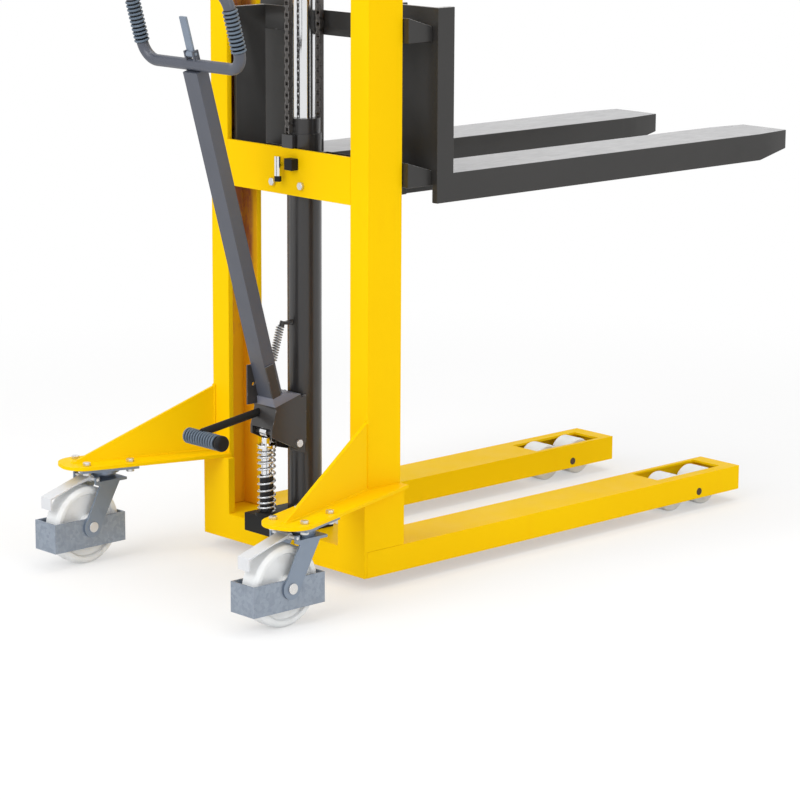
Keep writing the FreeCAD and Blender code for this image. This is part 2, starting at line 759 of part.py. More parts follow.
def lift_cylinder():
    """Barrel of the lift ram with its gland, and a saddle plate bolted to the mid beam."""
    barrel = rod(vec(0, cylinder_y, block_top), vec(0, 0, 1), cylinder_radius,
                 cylinder_top - cylinder_gland_height - block_top)
    gland = rod(vec(0, cylinder_y, cylinder_top - cylinder_gland_height), vec(0, 0, 1),
                cylinder_radius - cylinder_gland_step, cylinder_gland_height)
    rear = mast_rear_y + plate
    saddle = box((-saddle_half_width, saddle_half_width), (rear, rear + plate),
                 (saddle_bolt_z() - saddle_height / 2, saddle_bolt_z() + saddle_height / 2))
    low, high = return_spring_ends()
    root_y = cylinder_rear_y + overrun
    roots = [(root_y, high.z + return_lug_half), (root_y, high.z - return_lug_half)]
    body = fused([barrel, gland, saddle] + spring_lug(roots, high, low))
    bore = rod(vec(0, cylinder_y, block_top + plate), vec(0, 0, 1), ram_radius + run_gap, cylinder_top)
    for side in (-1, 1):
        hole = rod(vec(side * saddle_bolt_spacing / 2, rear - overrun, saddle_bolt_z()), vec(0, 1, 0),
                   bolt_radius + run_gap, plate + 2 * overrun)
        body = body.cut(hole)
    return body.cut(bore)


def lift_ram():
    """Chromed ram; its foot stays inside the barrel over the whole stroke."""
    foot = block_top + ram_foot + lift_down / 2
    top = sheave_z - sheave_radius - crosshead_height
    return rod(vec(0, cylinder_y, foot), vec(0, 0, 1), ram_radius, top - foot)


def crosshead():
    """Fork on top of the ram that carries the chain sheave."""
    half = sheave_width / 2 + run_gap
    outer = half + yoke_cheek
    low = sheave_z - sheave_radius - crosshead_height
    base = rod(vec(0, cylinder_y, low), vec(0, 0, 1), ram_radius + yoke_cheek, crosshead_height - chain_depth)
    radius = sheave_pin_radius * 2
    solids = [base]
    for side in (-1, 1):
        limits = sorted((side * half, side * outer))
        solids.append(box(limits, (cylinder_y - radius, cylinder_y + radius), (low, sheave_z)))
        solids.append(cross_rod(limits, cylinder_y, sheave_z, radius))
    body = fused(solids)
    return body.fuse(cross_rod((-outer, outer), cylinder_y, sheave_z, sheave_pin_radius)).removeSplitter()


def chain_sheave():
    """Grooved wheel on the crosshead's pin."""
    half = sheave_width / 2
    groove = sheave_radius - chain_depth / 2 - run_gap
    lip = groove + chain_depth / 2
    bore = sheave_pin_radius + run_gap
    inner = half - sheave_flange + run_gap
    face = [(bore, half), (lip, half), (lip, inner), (groove, inner)]
    profile = face + [(r, -s) for r, s in reversed(face)]
    return revolved(profile, vec(0, cylinder_y, sheave_z), vec(1, 0, 0), vec(0, 0, 1))


def anchor_top():
    return beam_top + anchor_height


def chain_anchor():
    """Lug on the mid beam's upper edge that holds the chain's fixed end."""
    rear = cylinder_y - sheave_radius - chain_depth / 2
    return box((-anchor_width / 2, anchor_width / 2), (rear, rear + chain_depth),
               (beam_top, anchor_top()))


def chain_run(y, z):
    return box((-chain_width / 2 + run_gap, chain_width / 2 - run_gap),
               (y - chain_depth / 2, y + chain_depth / 2), z)


def lift_chain_rear():
    """Fixed run of the chain, from the beam's lug up to the sheave."""
    return chain_run(cylinder_y - sheave_radius, (anchor_top(), sheave_z))


def lift_chain_front():
    """Run over the sheave and down to the carriage."""
    inner, outer = sheave_radius - chain_depth / 2, sheave_radius + chain_depth / 2
    half = chain_width / 2 - run_gap
    start = vec(-half, cylinder_y, sheave_z)
    ring = rod(start, vec(1, 0, 0), outer, 2 * half).cut(rod(start, vec(1, 0, 0), inner, 2 * half))
    upper = box((-half, half), (cylinder_y - outer, cylinder_y + outer),
                (sheave_z, sheave_z + outer + overrun))
    run = chain_run(cylinder_y + sheave_radius, (carriage_lug_top(), sheave_z))
    return ring.common(upper).fuse(run).removeSplitter()


# Carriage

def carriage_lug_top():
    return bar_bottom + bar_rear_height + anchor_height


def cross_bar(low):
    """Folded bar in front of the mast, its top sloping down towards the forks."""
    outline = [(bar_rear_y, low), (bar_rear_y, low + bar_rear_height),
               (post_rear_y, low + bar_front_height), (post_rear_y, low)]
    end = fork_outer - post_width
    return sheet_yz(outline, (-end, end))


def carriage_frame():
    """Two cross bars and the roller plates that reach back between the mast's flanges."""
    upper = post_top - upper_bar_drop - bar_rear_height
    rear = mast_rear_y + mast_flange + roller_plate_rear_margin
    solids = [cross_bar(bar_bottom), cross_bar(upper)]
    solids += both_sides(roller_plate_outer - roller_plate, roller_plate_outer, (rear, bar_rear_y),
                         (bar_bottom, post_top - upper_bar_drop))
    lug = chain_run(cylinder_y + sheave_radius, (bar_bottom + bar_front_height, carriage_lug_top()))
    foot = box((-anchor_width / 2, anchor_width / 2),
               (cylinder_y + sheave_radius - chain_depth / 2, bar_rear_y),
               (bar_bottom, bar_bottom + bar_rear_height))
    return fused(solids + [lug, foot])


def mast_roller_places():
    return [bar_bottom + mast_roller_inset, post_top - upper_bar_drop - mast_roller_inset]


def mast_roller_axles():
    """Stub axles welded to the roller plates."""
    inner = roller_plate_outer
    outer = inner + mast_roller_side_gap + mast_roller_width
    axles = []
    for z in mast_roller_places():
        for low, high in ((inner, outer), (-outer, -inner)):
            axles.append(cross_rod((low, high), mast_mid_y, z, mast_roller_axle_radius))
    return axles


def mast_roller(place):
    """Steel roller with chamfered rims, running between the channel's flanges."""
    half = mast_roller_width / 2
    edge = mast_roller_edge
    bore = mast_roller_axle_radius + run_gap
    rim = mast_roller_radius
    profile = [(bore, -half), (rim - edge, -half), (rim, edge - half), (rim, half - edge), (rim - edge, half),
               (bore, half)]
    x = roller_plate_outer + mast_roller_side_gap + half
    return revolved(profile, vec(x, mast_mid_y, place), vec(1, 0, 0), vec(0, 0, 1))


def fork():
    """Folded fork that nests over the leg, with a tapered tip and a shank of two posts and a back plate."""
    tip_start = fork_tip_y - fork_tip_length
    plan = [(fork_inner, post_front_y), (fork_outer, post_front_y), (fork_outer, tip_start),
            (fork_outer - fork_tip_taper, fork_tip_y), (fork_inner + fork_tip_taper, fork_tip_y),
            (fork_inner, tip_start)]
    side = [(post_front_y, fork_bottom), (tip_start, fork_bottom), (fork_tip_y, fork_top_z - fork_tip_end),
            (fork_tip_y, fork_top_z), (post_front_y, fork_top_z)]
    blade = sheet_xy(plan, (fork_bottom, fork_top_z)).common(sheet_yz(side, (fork_inner, fork_outer)))
    room = box((fork_inner + fork_wall, fork_outer - fork_wall),
               (post_front_y - overrun, tip_start), (fork_bottom - overrun, fork_top_z - fork_wall))
    blade = blade.cut(room)
    posts = [box((fork_outer - post_width, fork_outer), (post_rear_y, post_front_y), (fork_bottom, post_top)),
             box((fork_inner, fork_inner + post_width), (post_rear_y, post_front_y), (fork_bottom, post_top))]
    back = box((fork_inner + post_width, fork_outer - post_width), (post_rear_y, post_rear_y + plate),
               (bar_bottom, post_top))
    heel = box((fork_inner + post_width, fork_outer - post_width), (post_rear_y + plate, post_front_y),
               (fork_top_z - fork_wall, fork_top_z))
    return fused([blade, back, heel] + posts)


# Pump lever

def pump_barrel():
    """Sleeve in which the pump's plunger works."""
    sleeve = rod(vec(0, pump_y, block_top), vec(0, 0, 1), pump_barrel_radius, pump_barrel_height)
    bore = rod(vec(0, pump_y, block_top), vec(0, 0, 1), plunger_radius + run_gap,
               pump_barrel_height + overrun)
    return sleeve.cut(bore)


def plunger():
    """Chromed plunger with the collar that the spring lifts."""
    foot = block_top + plunger_foot + lever_drop()
    stem = rod(vec(0, pump_y, foot), vec(0, 0, 1), plunger_radius, plunger_top_z - foot)
    collar = rod(vec(0, pump_y, collar_z), vec(0, 0, 1), collar_radius, collar_height)
    return stem.fuse(collar).removeSplitter()


def lever_drop():
    """Stroke left free under the plunger."""
    return pump_barrel_height / 2


def pump_spring():
    """Coil spring round the barrel, from its seat up to the plunger's collar."""
    low = block_top + pump_seat_height + pump_spring_wire + run_gap
    high = collar_z - pump_spring_wire - run_gap
    return helix_tube(vec(0, pump_y, low), vec(0, 0, 1), vec(1, 0, 0), pump_spring_radius,
                      high - low, pump_spring_turns, pump_spring_wire)


def pivot_bracket():
    """Pair of ears on the cylinder, between the lever's cheeks, that carry its pin."""
    outer, back = lever_half_gap + ear_plate, lever_pin_y - ear_rear
    ears = []
    for side in (-1, 1):
        limits = sorted((side * lever_half_gap, side * outer))
        outline = [(back, lever_pin_z - ear_rear), (back, lever_pin_z + ear_rear),
                   (cylinder_y, lever_pin_z + ear_half_height), (cylinder_y, lever_pin_z - ear_half_height)]
        ears.append(sheet_yz(outline, limits))
    cylinder = rod(vec(0, cylinder_y, block_top), vec(0, 0, 1), cylinder_radius, cylinder_top)
    pin = cross_rod((-outer - overrun, outer + overrun), lever_pin_y, lever_pin_z, lever_pin_radius)
    return [ear.cut(cylinder).cut(pin) for ear in ears]


def lever_pin():
    outer = cheek_outer + pin_stand_out
    return cross_rod((-outer, outer), lever_pin_y, lever_pin_z, lever_pin_radius)


def tiller_point(along, forward):
    """Point on the tiller's line, `along` up from its foot and `forward` of its middle."""
    y = tiller_foot_y - along * math.sin(tiller_angle) + forward * math.cos(tiller_angle)
    z = tiller_foot_z + along * math.cos(tiller_angle) + forward * math.sin(tiller_angle)
    return y, z


def lever_back():
    """Rear edge of the lever's cheeks, from above the pressure roller up to the head plate."""
    return (pump_y - lever_boss, plunger_top_z + 2 * pressure_roller_radius), \
        tiller_point(-plate, -tiller_depth / 2 - socket_wall)


def lever_collar():
    """Sloping collar on the head plate, with a pocket for the tiller's foot."""
    half = tiller_depth / 2
    rim = half + collar_rim
    rings = []
    for along, x, rear, front in ((0, cheek_outer, half + socket_wall, head_front),
                                  (collar_rise, lever_half_gap + collar_rim, rim, rim)):
        ends = [tiller_point(along, -rear), tiller_point(along, front)]
        rings.append([vec(side * x, y, z)
                      for (y, z), sides in zip(ends, ((-1, 1), (1, -1))) for side in sides])
    corners = ((0, -half), (0, half), (tiller_length, half), (tiller_length, -half))
    pocket = sheet_yz([tiller_point(a, f) for a, f in corners], (-lever_half_gap, lever_half_gap))
    return tapered(rings).cut(pocket)


def lever_side_plates():
    """Short plate on the tiller's right side and a larger fin with a hole on its left."""
    inner, outer = lever_half_gap, lever_half_gap + socket_plate
    half = tiller_depth / 2
    right = [tiller_point(a, f) for a, f in ((0, -half), (0, socket_front), (socket_reach, socket_front),
                                             (socket_reach, -half))]
    top_y, top_z = tiller_point(socket_reach, -half)
    foot_y, foot_z = tiller_point(0, -half)
    back = foot_y - fin_back
    fin = [(back, foot_z), (foot_y, foot_z), tiller_point(0, half), tiller_point(socket_reach, half),
           (top_y, top_z), (back, top_z)]
    hole = cross_rod((-outer - overrun, overrun - inner), (back + foot_y) / 2, (foot_z + top_z) / 2,
                     fin_hole_radius)
    return [sheet_yz(right, (inner, outer)), sheet_yz(fin, (-outer, -inner)).cut(hole)]


def pump_lever():
    """Rocking yoke: two cheeks outside the ears, a head plate with the tiller's collar, and a back plate."""
    half = tiller_depth / 2
    back_low, head_rear = lever_back()
    front_y = lever_pin_y + lever_cheek_front
    head_end = tiller_point(-plate, head_front)
    front_z = head_end[1] + (front_y - head_end[0]) * math.tan(tiller_angle)
    outline = [(lever_pin_y, lever_pin_z - lever_boss), (front_y, lever_pin_z), (front_y, front_z), head_rear,
               back_low, (pump_y - lever_boss, plunger_top_z + pressure_roller_radius - pressure_pin_radius)]
    solids = [sheet_yz(outline, (cheek_inner, cheek_outer)), sheet_yz(outline, (-cheek_outer, -cheek_inner))]
    head = [head_rear, head_end, tiller_point(0, head_front), tiller_point(0, -half - socket_wall)]
    solids.append(sheet_yz(head, (-cheek_outer, cheek_outer)))
    solids.append(lever_collar())
    solids += lever_side_plates()
    deep = lever_back_plate
    back = [back_low, head_rear, tiller_point(-plate, deep - half - socket_wall),
            (back_low[0] + deep, back_low[1])]
    solids.append(sheet_yz(back, (-cheek_inner, cheek_inner)))
    solids.append(cross_rod((-cheek_outer, cheek_outer), pump_y, pressure_z(), pressure_pin_radius))
    reach = cheek_outer + overrun
    hole = cross_rod((-reach, reach), lever_pin_y, lever_pin_z, lever_pin_radius + run_gap)
    return fused(solids).cut(hole)


def pressure_z():
    return plunger_top_z + run_gap + pressure_roller_radius


def pressure_roller():
    half = pressure_roller_width / 2
    ring = cross_rod((-half, half), pump_y, pressure_z(), pressure_roller_radius)
    return ring.cut(cross_rod((-half - overrun, half + overrun), pump_y, pressure_z(),
                              pressure_pin_radius + run_gap))


def tiller_tube():
    """Rectangular tube in the socket, leaning back to the handle."""
    half_x, half_y = tiller_width / 2, tiller_depth / 2
    corners = [(0, -half_y), (0, half_y), (tiller_length, half_y), (tiller_length, -half_y)]
    outside = sheet_yz([tiller_point(a, f) for a, f in corners], (-half_x, half_x))
    wall = tiller_wall
    inner = [(wall, wall - half_y), (wall, half_y - wall), (tiller_length - wall, half_y - wall),
             (tiller_length - wall, wall - half_y)]
    inside = sheet_yz([tiller_point(a, f) for a, f in inner], (wall - half_x, half_x - wall))
    low, high = return_spring_ends()
    roots = [tiller_point(return_along + side * return_lug_half, half_y) for side in (-1, 1)]
    return fused([outside.cut(inside)] + spring_lug(roots, low, high))


def handle_place(x, along):
    y, z = tiller_point(tiller_length + along, 0)
    return vec(x, y, z)


def handle_axes():
    """Directions along the tiller and square to the handle's plane."""
    return (vec(0, -math.sin(tiller_angle), math.cos(tiller_angle)),
            vec(0, math.cos(tiller_angle), math.sin(tiller_angle)))


def handle_loop():
    """Bent tube loop welded across the tiller's head, with two lugs for the release lever's hinge."""
    up, out = handle_axes()
    side = vec(1, 0, 0)
    half, low, high, bend = handle_width / 2, handle_tube_radius, handle_height, handle_corner
    solids = []
    for a in (low, high):
        solids.append(rod(handle_place(bend - half, a), side, handle_tube_radius, 2 * (half - bend)))
    for x in (-half, half):
        solids.append(rod(handle_place(x, low + bend), up, handle_tube_radius, high - low - 2 * bend))
    for right, a, inward, turn in ((1, high, -1, 0), (-1, high, -1, 90), (-1, low, 1, 180), (1, low, 1, 270)):
        centre = handle_place(right * (half - bend), a + inward * bend)
        ring = Part.Face(Part.Wire(Part.Circle(centre + side * bend, up, handle_tube_radius).toShape()))
        solids.append(ring.revolve(centre, side.cross(up), 90).rotated(centre, side.cross(up), turn))
    pin = release_pin_place()
    inner = release_width / 2 + run_gap
    for right in (-1, 1):
        limits = sorted((right * inner, right * (inner + release_lug)))
        foot = handle_place(0, low)
        deep = release_pin_radius * 2
        outline = [(foot.y + out.y * d + up.y * a, foot.z + out.z * d + up.z * a)
                   for a, d in ((0, -deep), (0, deep), (release_rise(), deep), (release_rise(), -deep))]
        solids.append(sheet_yz(outline, limits))
    body = fused(solids)
    reach = release_width / 2 + release_lug + overrun
    return body.cut(cross_rod((-reach, reach), pin.y, pin.z, release_pin_radius + run_gap))


def release_rise():
    """Top of the release lever's lugs above the lower tube's axis."""
    return handle_tube_radius + release_pin_height + 2 * release_pin_radius


def release_pin_place():
    return handle_place(0, 2 * handle_tube_radius + release_pin_height)


def handle_grips():
    """Rubber sleeves on the two sides of the loop."""
    grips = []
    lean = vec(0, -math.sin(tiller_angle), math.cos(tiller_angle))
    middle = (handle_height + handle_tube_radius) / 2
    length = handle_height - handle_tube_radius - 2 * handle_corner
    for side in (-1, 1):
        start = handle_place(side * handle_width / 2, middle - length / 2)
        sleeve = rod(start, lean, handle_grip_radius, length)
        grips.append(sleeve.cut(rod(start, lean, handle_tube_radius, length)))
    return grips


def pedal_arm():
    """Round bar from the lever's back plate out to the foot pedal, with a cross bar inside the grip."""
    low, high = lever_back()
    start = vec(pedal_arm_x, max(low[0], high[0]) + lever_back_plate, lever_pin_z + pedal_arm_rise)
    end = vec(pedal_arm_x, pedal_y, pedal_z + pedal_arm_above)
    bar = rod(start, (end - start).normalize(), pedal_arm_radius, (end - start).Length)
    lever = sheet_yz([low, high, (lever_pin_y, high[1]), (lever_pin_y, low[1])], (-cheek_inner, cheek_inner))
    bar = bar.cut(lever)
    half = pedal_grip_length / 2
    core = cross_rod((pedal_grip_x - half, pedal_grip_x + half - pedal_end_cap), pedal_y, pedal_z,
                     pedal_core_radius)
    return bar.fuse(core).removeSplitter()


def pedal_grip():
    """Rubber sleeve with a closed, bevelled end."""
    half, rim, edge = pedal_grip_length / 2, pedal_grip_radius, pedal_grip_edge
    profile = [(0, half), (rim - edge, half), (rim, half - edge), (rim, edge - half), (rim - edge, -half),
               (0, -half)]
    sleeve = revolved(profile, vec(pedal_grip_x, pedal_y, pedal_z), vec(1, 0, 0), vec(0, 0, 1))
    return sleeve.cut(pedal_arm())


def release_lever():
    """Finger lever inside the handle loop that lowers the forks, with its hinge pin."""
    half, thick = release_width / 2, release_thickness / 2
    pin = release_pin_place()
    up, out = handle_axes()
    outline = [(pin.y + out.y * d + up.y * a, pin.z + out.z * d + up.z * a)
               for a, d in ((0, -thick), (0, thick), (release_length, thick), (release_length, -thick))]
    outer = half + run_gap + release_lug
    boss = cross_rod((-half, half), pin.y, pin.z, 2 * release_pin_radius)
    return fused([sheet_yz(outline, (-half, half)), boss,
                  cross_rod((-outer, outer), pin.y, pin.z, release_pin_radius)])


# Fittings on the mid beam

def peg_top_z():
    return beam_top - peg_below_top


def guide_peg():
    """Turned peg on a short arm from the beam."""
    rear = mast_rear_y - peg_stand_off
    body = rod(vec(peg_x, rear, peg_top_z() - peg_height), vec(0, 0, 1), peg_radius, peg_height)
    arm_z = peg_top_z() - peg_height / 2
    arm = box((peg_x - peg_radius, peg_x + peg_radius), (rear, mast_rear_y), (arm_z, arm_z + peg_arm))
    return body.fuse(arm).removeSplitter()


def guide_tip():
    """Black cap on the peg's lower end."""
    low = peg_top_z() - peg_height - peg_tip_height
    return rod(vec(peg_x, mast_rear_y - peg_stand_off, low), vec(0, 0, 1), peg_radius, peg_tip_height)


def stop_block():
    """Rubber block on the beam's rear face."""
    half, low = stop_width / 2, mid_beam_bottom + stop_rise
    return box((stop_x - half, stop_x + half), (mast_rear_y - stop_depth, mast_rear_y),
               (low, low + stop_height))


def return_spring_ends():
    """Ends of the spring on the tiller's front and behind the cylinder."""
    y, z = tiller_point(return_along, tiller_depth / 2 + return_stand_off)
    return vec(0, y, z), vec(0, cylinder_rear_y - return_reach, lever_pin_z + return_rise)


def spring_lug(roots, place, other_end):
    """Tapered lug from two root points to the spring's end, and the plug that the end coils sit on."""
    way = (other_end - place).normalize()
    across = vec(0, -way.z, way.y)
    plug_radius = return_spring_radius - return_spring_wire - run_gap
    tips = [place + across * plug_radius, place - across * plug_radius]
    first = vec(0, roots[1][0], roots[1][1])
    tips.sort(key=lambda tip: (tip - first).Length)
    outline = roots + [(tip.y, tip.z) for tip in tips]
    return [sheet_yz(outline, (-return_lug / 2, return_lug / 2)),
            rod(place - way * plug_radius, way, plug_radius, return_plug + plug_radius)]


def return_spring():
    """Coil spring that draws the tiller upright again, its end coils on the two plugs."""
    low, high = return_spring_ends()
    way = (high - low).normalize()
    clear = return_spring_wire + run_gap
    return helix_tube(low + way * clear, way, vec(1, 0, 0), return_spring_radius,
                      (high - low).Length - 2 * clear, return_spring_turns, return_spring_wire)


def build():
    os.makedirs("parts", exist_ok=True)
    save("rear_frame", rear_frame())
    save_pair("leg", leg())
    save_pair("mast_upright", mast_upright())
    save("mid_beam", mid_beam())
    save("top_beam", top_beam())
    save_pair("caster_bracket", caster_bracket())
    plate_right = caster_plate_piece()
    save("caster_plates", [plate_right, mirrored(plate_right)])
    save("frame_bolts", frame_bolts())
    pin = bogie_pin()
    save("hinge_pins", [pin, mirrored(pin), lever_pin()])
    save_pair("bogie", bogie())
    for end, name in ((-1, "rear"), (1, "front")):
        save_pair("load_roller_" + name, load_roller(end))
    save_pair("caster_yoke", caster_yoke())
    save_pair("foot_guard", foot_guard())
    save_pair("caster_axle", caster_axle())
    save_pair("caster_wheel", caster_wheel())
    save_pair("brake_pedal", brake_pedal())
    save("pump_block", pump_block())
    save("lift_cylinder", lift_cylinder())
    save("lift_ram", lift_ram())
    save("crosshead", crosshead())
    save("chain_sheave", chain_sheave())
    save("chain_anchor", chain_anchor())
    save("lift_chain_rear", lift_chain_rear())
    save("lift_chain_front", lift_chain_front())
    save("carriage_frame", carriage_frame())
    save("mast_roller_axles", mast_roller_axles())
    for place, name in zip(mast_roller_places(), ("lower", "upper")):
        save_pair("mast_roller_" + name, mast_roller(place))
    save_pair("fork", fork())
    save("pump_barrel", pump_barrel())
    save("plunger", plunger())
    save("pump_spring", pump_spring())
    save("pivot_bracket", pivot_bracket())
    save("pump_lever", pump_lever())
    save("pressure_roller", pressure_roller())
    save("tiller_tube", tiller_tube())
    save("handle_loop", handle_loop())
    save("handle_grips", handle_grips())
    save("pedal_arm", pedal_arm())
    save("pedal_grip", pedal_grip())
    save("release_lever", release_lever())
    save("return_spring", return_spring())
    save("guide_peg", guide_peg())
    save("guide_tip", guide_tip())
    save("stop_block", stop_block())


build()
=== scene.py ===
"""Hand pallet stacker, dressed for the studio.

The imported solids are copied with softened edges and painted, plated or moulded finishes. Coil springs, the
leaf chain, ribbed grips and weld seams are grown by node trees. Lengths are in metres, in the solids' frame,
and softened edges in millimetres.
"""

from __future__ import annotations

import json
import logging
from collections.abc import Callable
from dataclasses import dataclass, replace
from enum import Enum
from functools import cache
from math import atan2, cos, pi, radians, sin

import bmesh
import bpy
from bpy.types import Material, Mesh, Node, NodeSocket as Socket, NodeTree as Tree, Object as Piece
from mathutils import Matrix, Vector

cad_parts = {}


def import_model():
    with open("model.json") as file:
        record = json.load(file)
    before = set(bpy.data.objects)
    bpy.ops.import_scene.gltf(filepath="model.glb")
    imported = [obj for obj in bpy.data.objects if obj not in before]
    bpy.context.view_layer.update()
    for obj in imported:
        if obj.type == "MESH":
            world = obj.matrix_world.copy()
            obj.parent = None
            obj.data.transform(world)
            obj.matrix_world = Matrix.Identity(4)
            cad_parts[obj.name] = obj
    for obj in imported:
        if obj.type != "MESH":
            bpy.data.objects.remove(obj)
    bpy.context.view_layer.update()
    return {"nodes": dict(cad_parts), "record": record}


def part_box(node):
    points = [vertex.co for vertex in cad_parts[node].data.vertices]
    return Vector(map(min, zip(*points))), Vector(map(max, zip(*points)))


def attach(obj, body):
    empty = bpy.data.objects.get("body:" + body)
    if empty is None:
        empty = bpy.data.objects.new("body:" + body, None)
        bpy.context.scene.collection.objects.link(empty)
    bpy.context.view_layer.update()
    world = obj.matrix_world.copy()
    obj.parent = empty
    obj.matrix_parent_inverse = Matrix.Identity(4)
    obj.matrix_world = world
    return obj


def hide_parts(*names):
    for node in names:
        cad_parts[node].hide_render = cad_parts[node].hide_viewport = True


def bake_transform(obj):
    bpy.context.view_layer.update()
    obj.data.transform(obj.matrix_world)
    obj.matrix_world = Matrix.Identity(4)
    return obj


log = logging.getLogger("stacker")

Triple = tuple[float, float, float]
Inputs = dict[str | int, object]

MM = 0.001
MERGE_DISTANCE = 2e-6
FLAT_ANGLE = radians(0.6)
SHARP_ANGLE = radians(32.0)
SHADE_ANGLE = SHARP_ANGLE * 1.3  # steeper edges are shaded sharp
EDGE_STEPS = 2  # faces across a softened edge
COAT_ROUGHNESS = 0.12
RIB_CREST = 1.15  # depth of a ring's crest, which takes the painted highlight, in radii of the ring; faces deeper in take black as painted shade
# grey of the dusting, which also paints a sheen of light on faces that look up
DUST_AND_SHEEN_GREY = (0.6, 0.6, 0.61)
# painted shade: the orange tint of a mast channel's shaded inside
CHANNEL_SHADE_TINT = (0.95, 0.52, 0.02)
GREASE_CAKE = (0.46, 0.18, 0.09)


class Side(Enum):
    """The machine's two sides, seen from behind."""

    RIGHT = 1
    LEFT = -1


class Skin(Enum):
    """Kinds of metal surface, each with the spread of its roughness and the strength of its relief."""

    PLATED = (0.1, 0.06)
    SPANGLED = (0.16, 0.06)
    BRUSHED = (0.1, 0.12)
    POLISHED = (0.03, 0.015)


class Wires:
    """Adds and joins nodes in one shader or geometry tree."""

    def __init__(self, tree: Tree) -> None:
        """Takes hold of a tree."""
        self.tree = tree

    def feed(self, socket: Socket, value: object) -> None:
        """Joins an input to an output, or sets its value.

        Args:
            socket: the input.
            value: an output socket, or a plain value.
        """
        if isinstance(value, Socket):
            self.tree.links.new(value, socket)
        else:
            socket.default_value = value

    def add(self, kind: str, inputs: Inputs | None = None, **settings: object) -> Node:
        """Adds a node.

        Args:
            kind: the node's type name.
            inputs: values or sockets for its inputs, by name or number.
            settings: the node's own properties.

        Returns:
            The node.
        """
        node = self.tree.nodes.new(kind)
        for key, value in settings.items():
            setattr(node, key, value)
        for key, value in (inputs or {}).items():
            self.feed(node.inputs[key], value)
        return node

    def out(self, kind: str, inputs: Inputs | None = None, **settings: object) -> Socket:
        """Adds a node and gives its first output."""
        return self.add(kind, inputs, **settings).outputs[0]

    def calc(self, operation: str, *values: object, clamp: bool = False) -> Socket:
        """Adds a Math node and gives its result."""
        return self.out("ShaderNodeMath", dict(enumerate(values)), operation=operation, use_clamp=clamp)

    def times(self, *values: object) -> Socket:
        """Multiplies two values."""
        return self.calc("MULTIPLY", *values)

    def ramp(self, value: Socket, low: object, high: object, start: float = 0.0, end: float = 1.0) -> Socket:
        """Maps a value smoothly, so that low and less give start, and high and more give end."""
        limits = {"Value": value, "From Min": low, "From Max": high, "To Min": start, "To Max": end}
        return self.out("ShaderNodeMapRange", limits, interpolation_type="SMOOTHSTEP")

    def mix(self, factor: object, *colours: object) -> Socket:
        """Mixes two colours by the second one's share; sockets 6, 7 and 2 are the node's colours."""
        first, second = ((*c, 1.0) if isinstance(c, tuple) else c for c in colours)
        return self.add("ShaderNodeMix", {0: factor, 6: first, 7: second}, data_type="RGBA").outputs[2]

    def noise(self, vector: Socket, scale: object, detail: float = 3.0, roughness: float = 0.5) -> Socket:
        """Adds a noise texture and gives its grey value."""
        inputs = {"Vector": vector, "Scale": scale, "Detail": detail, "Roughness": roughness}
        return self.out("ShaderNodeTexNoise", inputs)

    def stretched(self, vector: Socket, scale: Triple) -> Socket:
        """Stretches coordinates, so that a pattern runs along one axis."""
        return self.out("ShaderNodeMapping", {"Vector": vector, "Scale": scale})

    def seen(self) -> Socket:
        """1 for rays that show the background: camera, glossy and transmission rays."""
        path = self.add("ShaderNodeLightPath").outputs
        return self.calc("MAXIMUM", self.calc("MAXIMUM", path["Is Camera Ray"], path["Is Glossy Ray"]),
                         path["Is Transmission Ray"])


class Group(Wires):
    """A node group with named inputs and one output."""

    def __init__(self, name: str, kind: str, output: str, **inputs: object) -> None:
        """Starts the group.

        Args:
            name: the group's name.
            kind: Shader or Geometry.
            output: name of its output, a number in a shader.
            inputs: the inputs' default values, or else their kinds.
        """
        super().__init__(bpy.data.node_groups.new(name, kind + "NodeTree"))
        sockets = self.tree.interface
        for key, value in inputs.items():
            plain = not isinstance(value, str)
            sort = type(value).__name__.capitalize() if plain else value
            socket = sockets.new_socket(name=key, in_out="INPUT", socket_type="NodeSocket" + sort)
            if plain:
                socket.default_value = value
        sort = "Float" if kind == "Shader" else kind
        sockets.new_socket(name=output, in_out="OUTPUT", socket_type="NodeSocket" + sort)
        self.given = self.add("NodeGroupInput").outputs
        self.result = self.add("NodeGroupOutput").inputs[0]

    def end(self, value: Socket) -> Tree:
        """Joins the result and gives the finished group."""
        self.feed(self.result, value)
        return self.tree


@cache
def relief_group() -> Tree:
    """Height of the fine unevenness of a sprayed, cast or moulded surface.

    Returns:
        The group.
    """
    wires = Group("surface_relief", "Shader", "Height", Vector="Vector", Scale=400.0, Broad=0.35)
    place, scale, share = wires.given[:3]
    broad = wires.noise(place, wires.times(scale, 0.12), 2.0)
    return wires.end(wires.calc("MULTIPLY_ADD", broad, share, wires.noise(place, scale, 2.0)))


@cache
def wear_group() -> Tree:
    """Mask of paint rubbed off along edges, broken up by noise.

    Returns:
        The group.
    """
    wires = Group("edge_wear", "Shader", "Mask", Vector="Vector", Reach=0.003, Scale=60.0, Amount=0.5)
    place, reach, scale, amount = wires.given[:4]
    rounded = wires.out("ShaderNodeBevel", {"Radius": reach}, samples=4)
    normal = wires.add("ShaderNodeNewGeometry").outputs["Normal"]
    same = wires.add("ShaderNodeVectorMath", {0: rounded, 1: normal}, operation="DOT_PRODUCT")
    edge = wires.ramp(wires.calc("SUBTRACT", 1.0, same.outputs["Value"]), 0.02, 0.25)
    limit = wires.calc("SUBTRACT", 0.82, wires.times(amount, 0.4))
    chipped = wires.ramp(wires.noise(place, scale, 5.0, 0.65), limit, wires.calc("ADD", limit, 0.06))
    return wires.end(wires.times(edge, chipped))


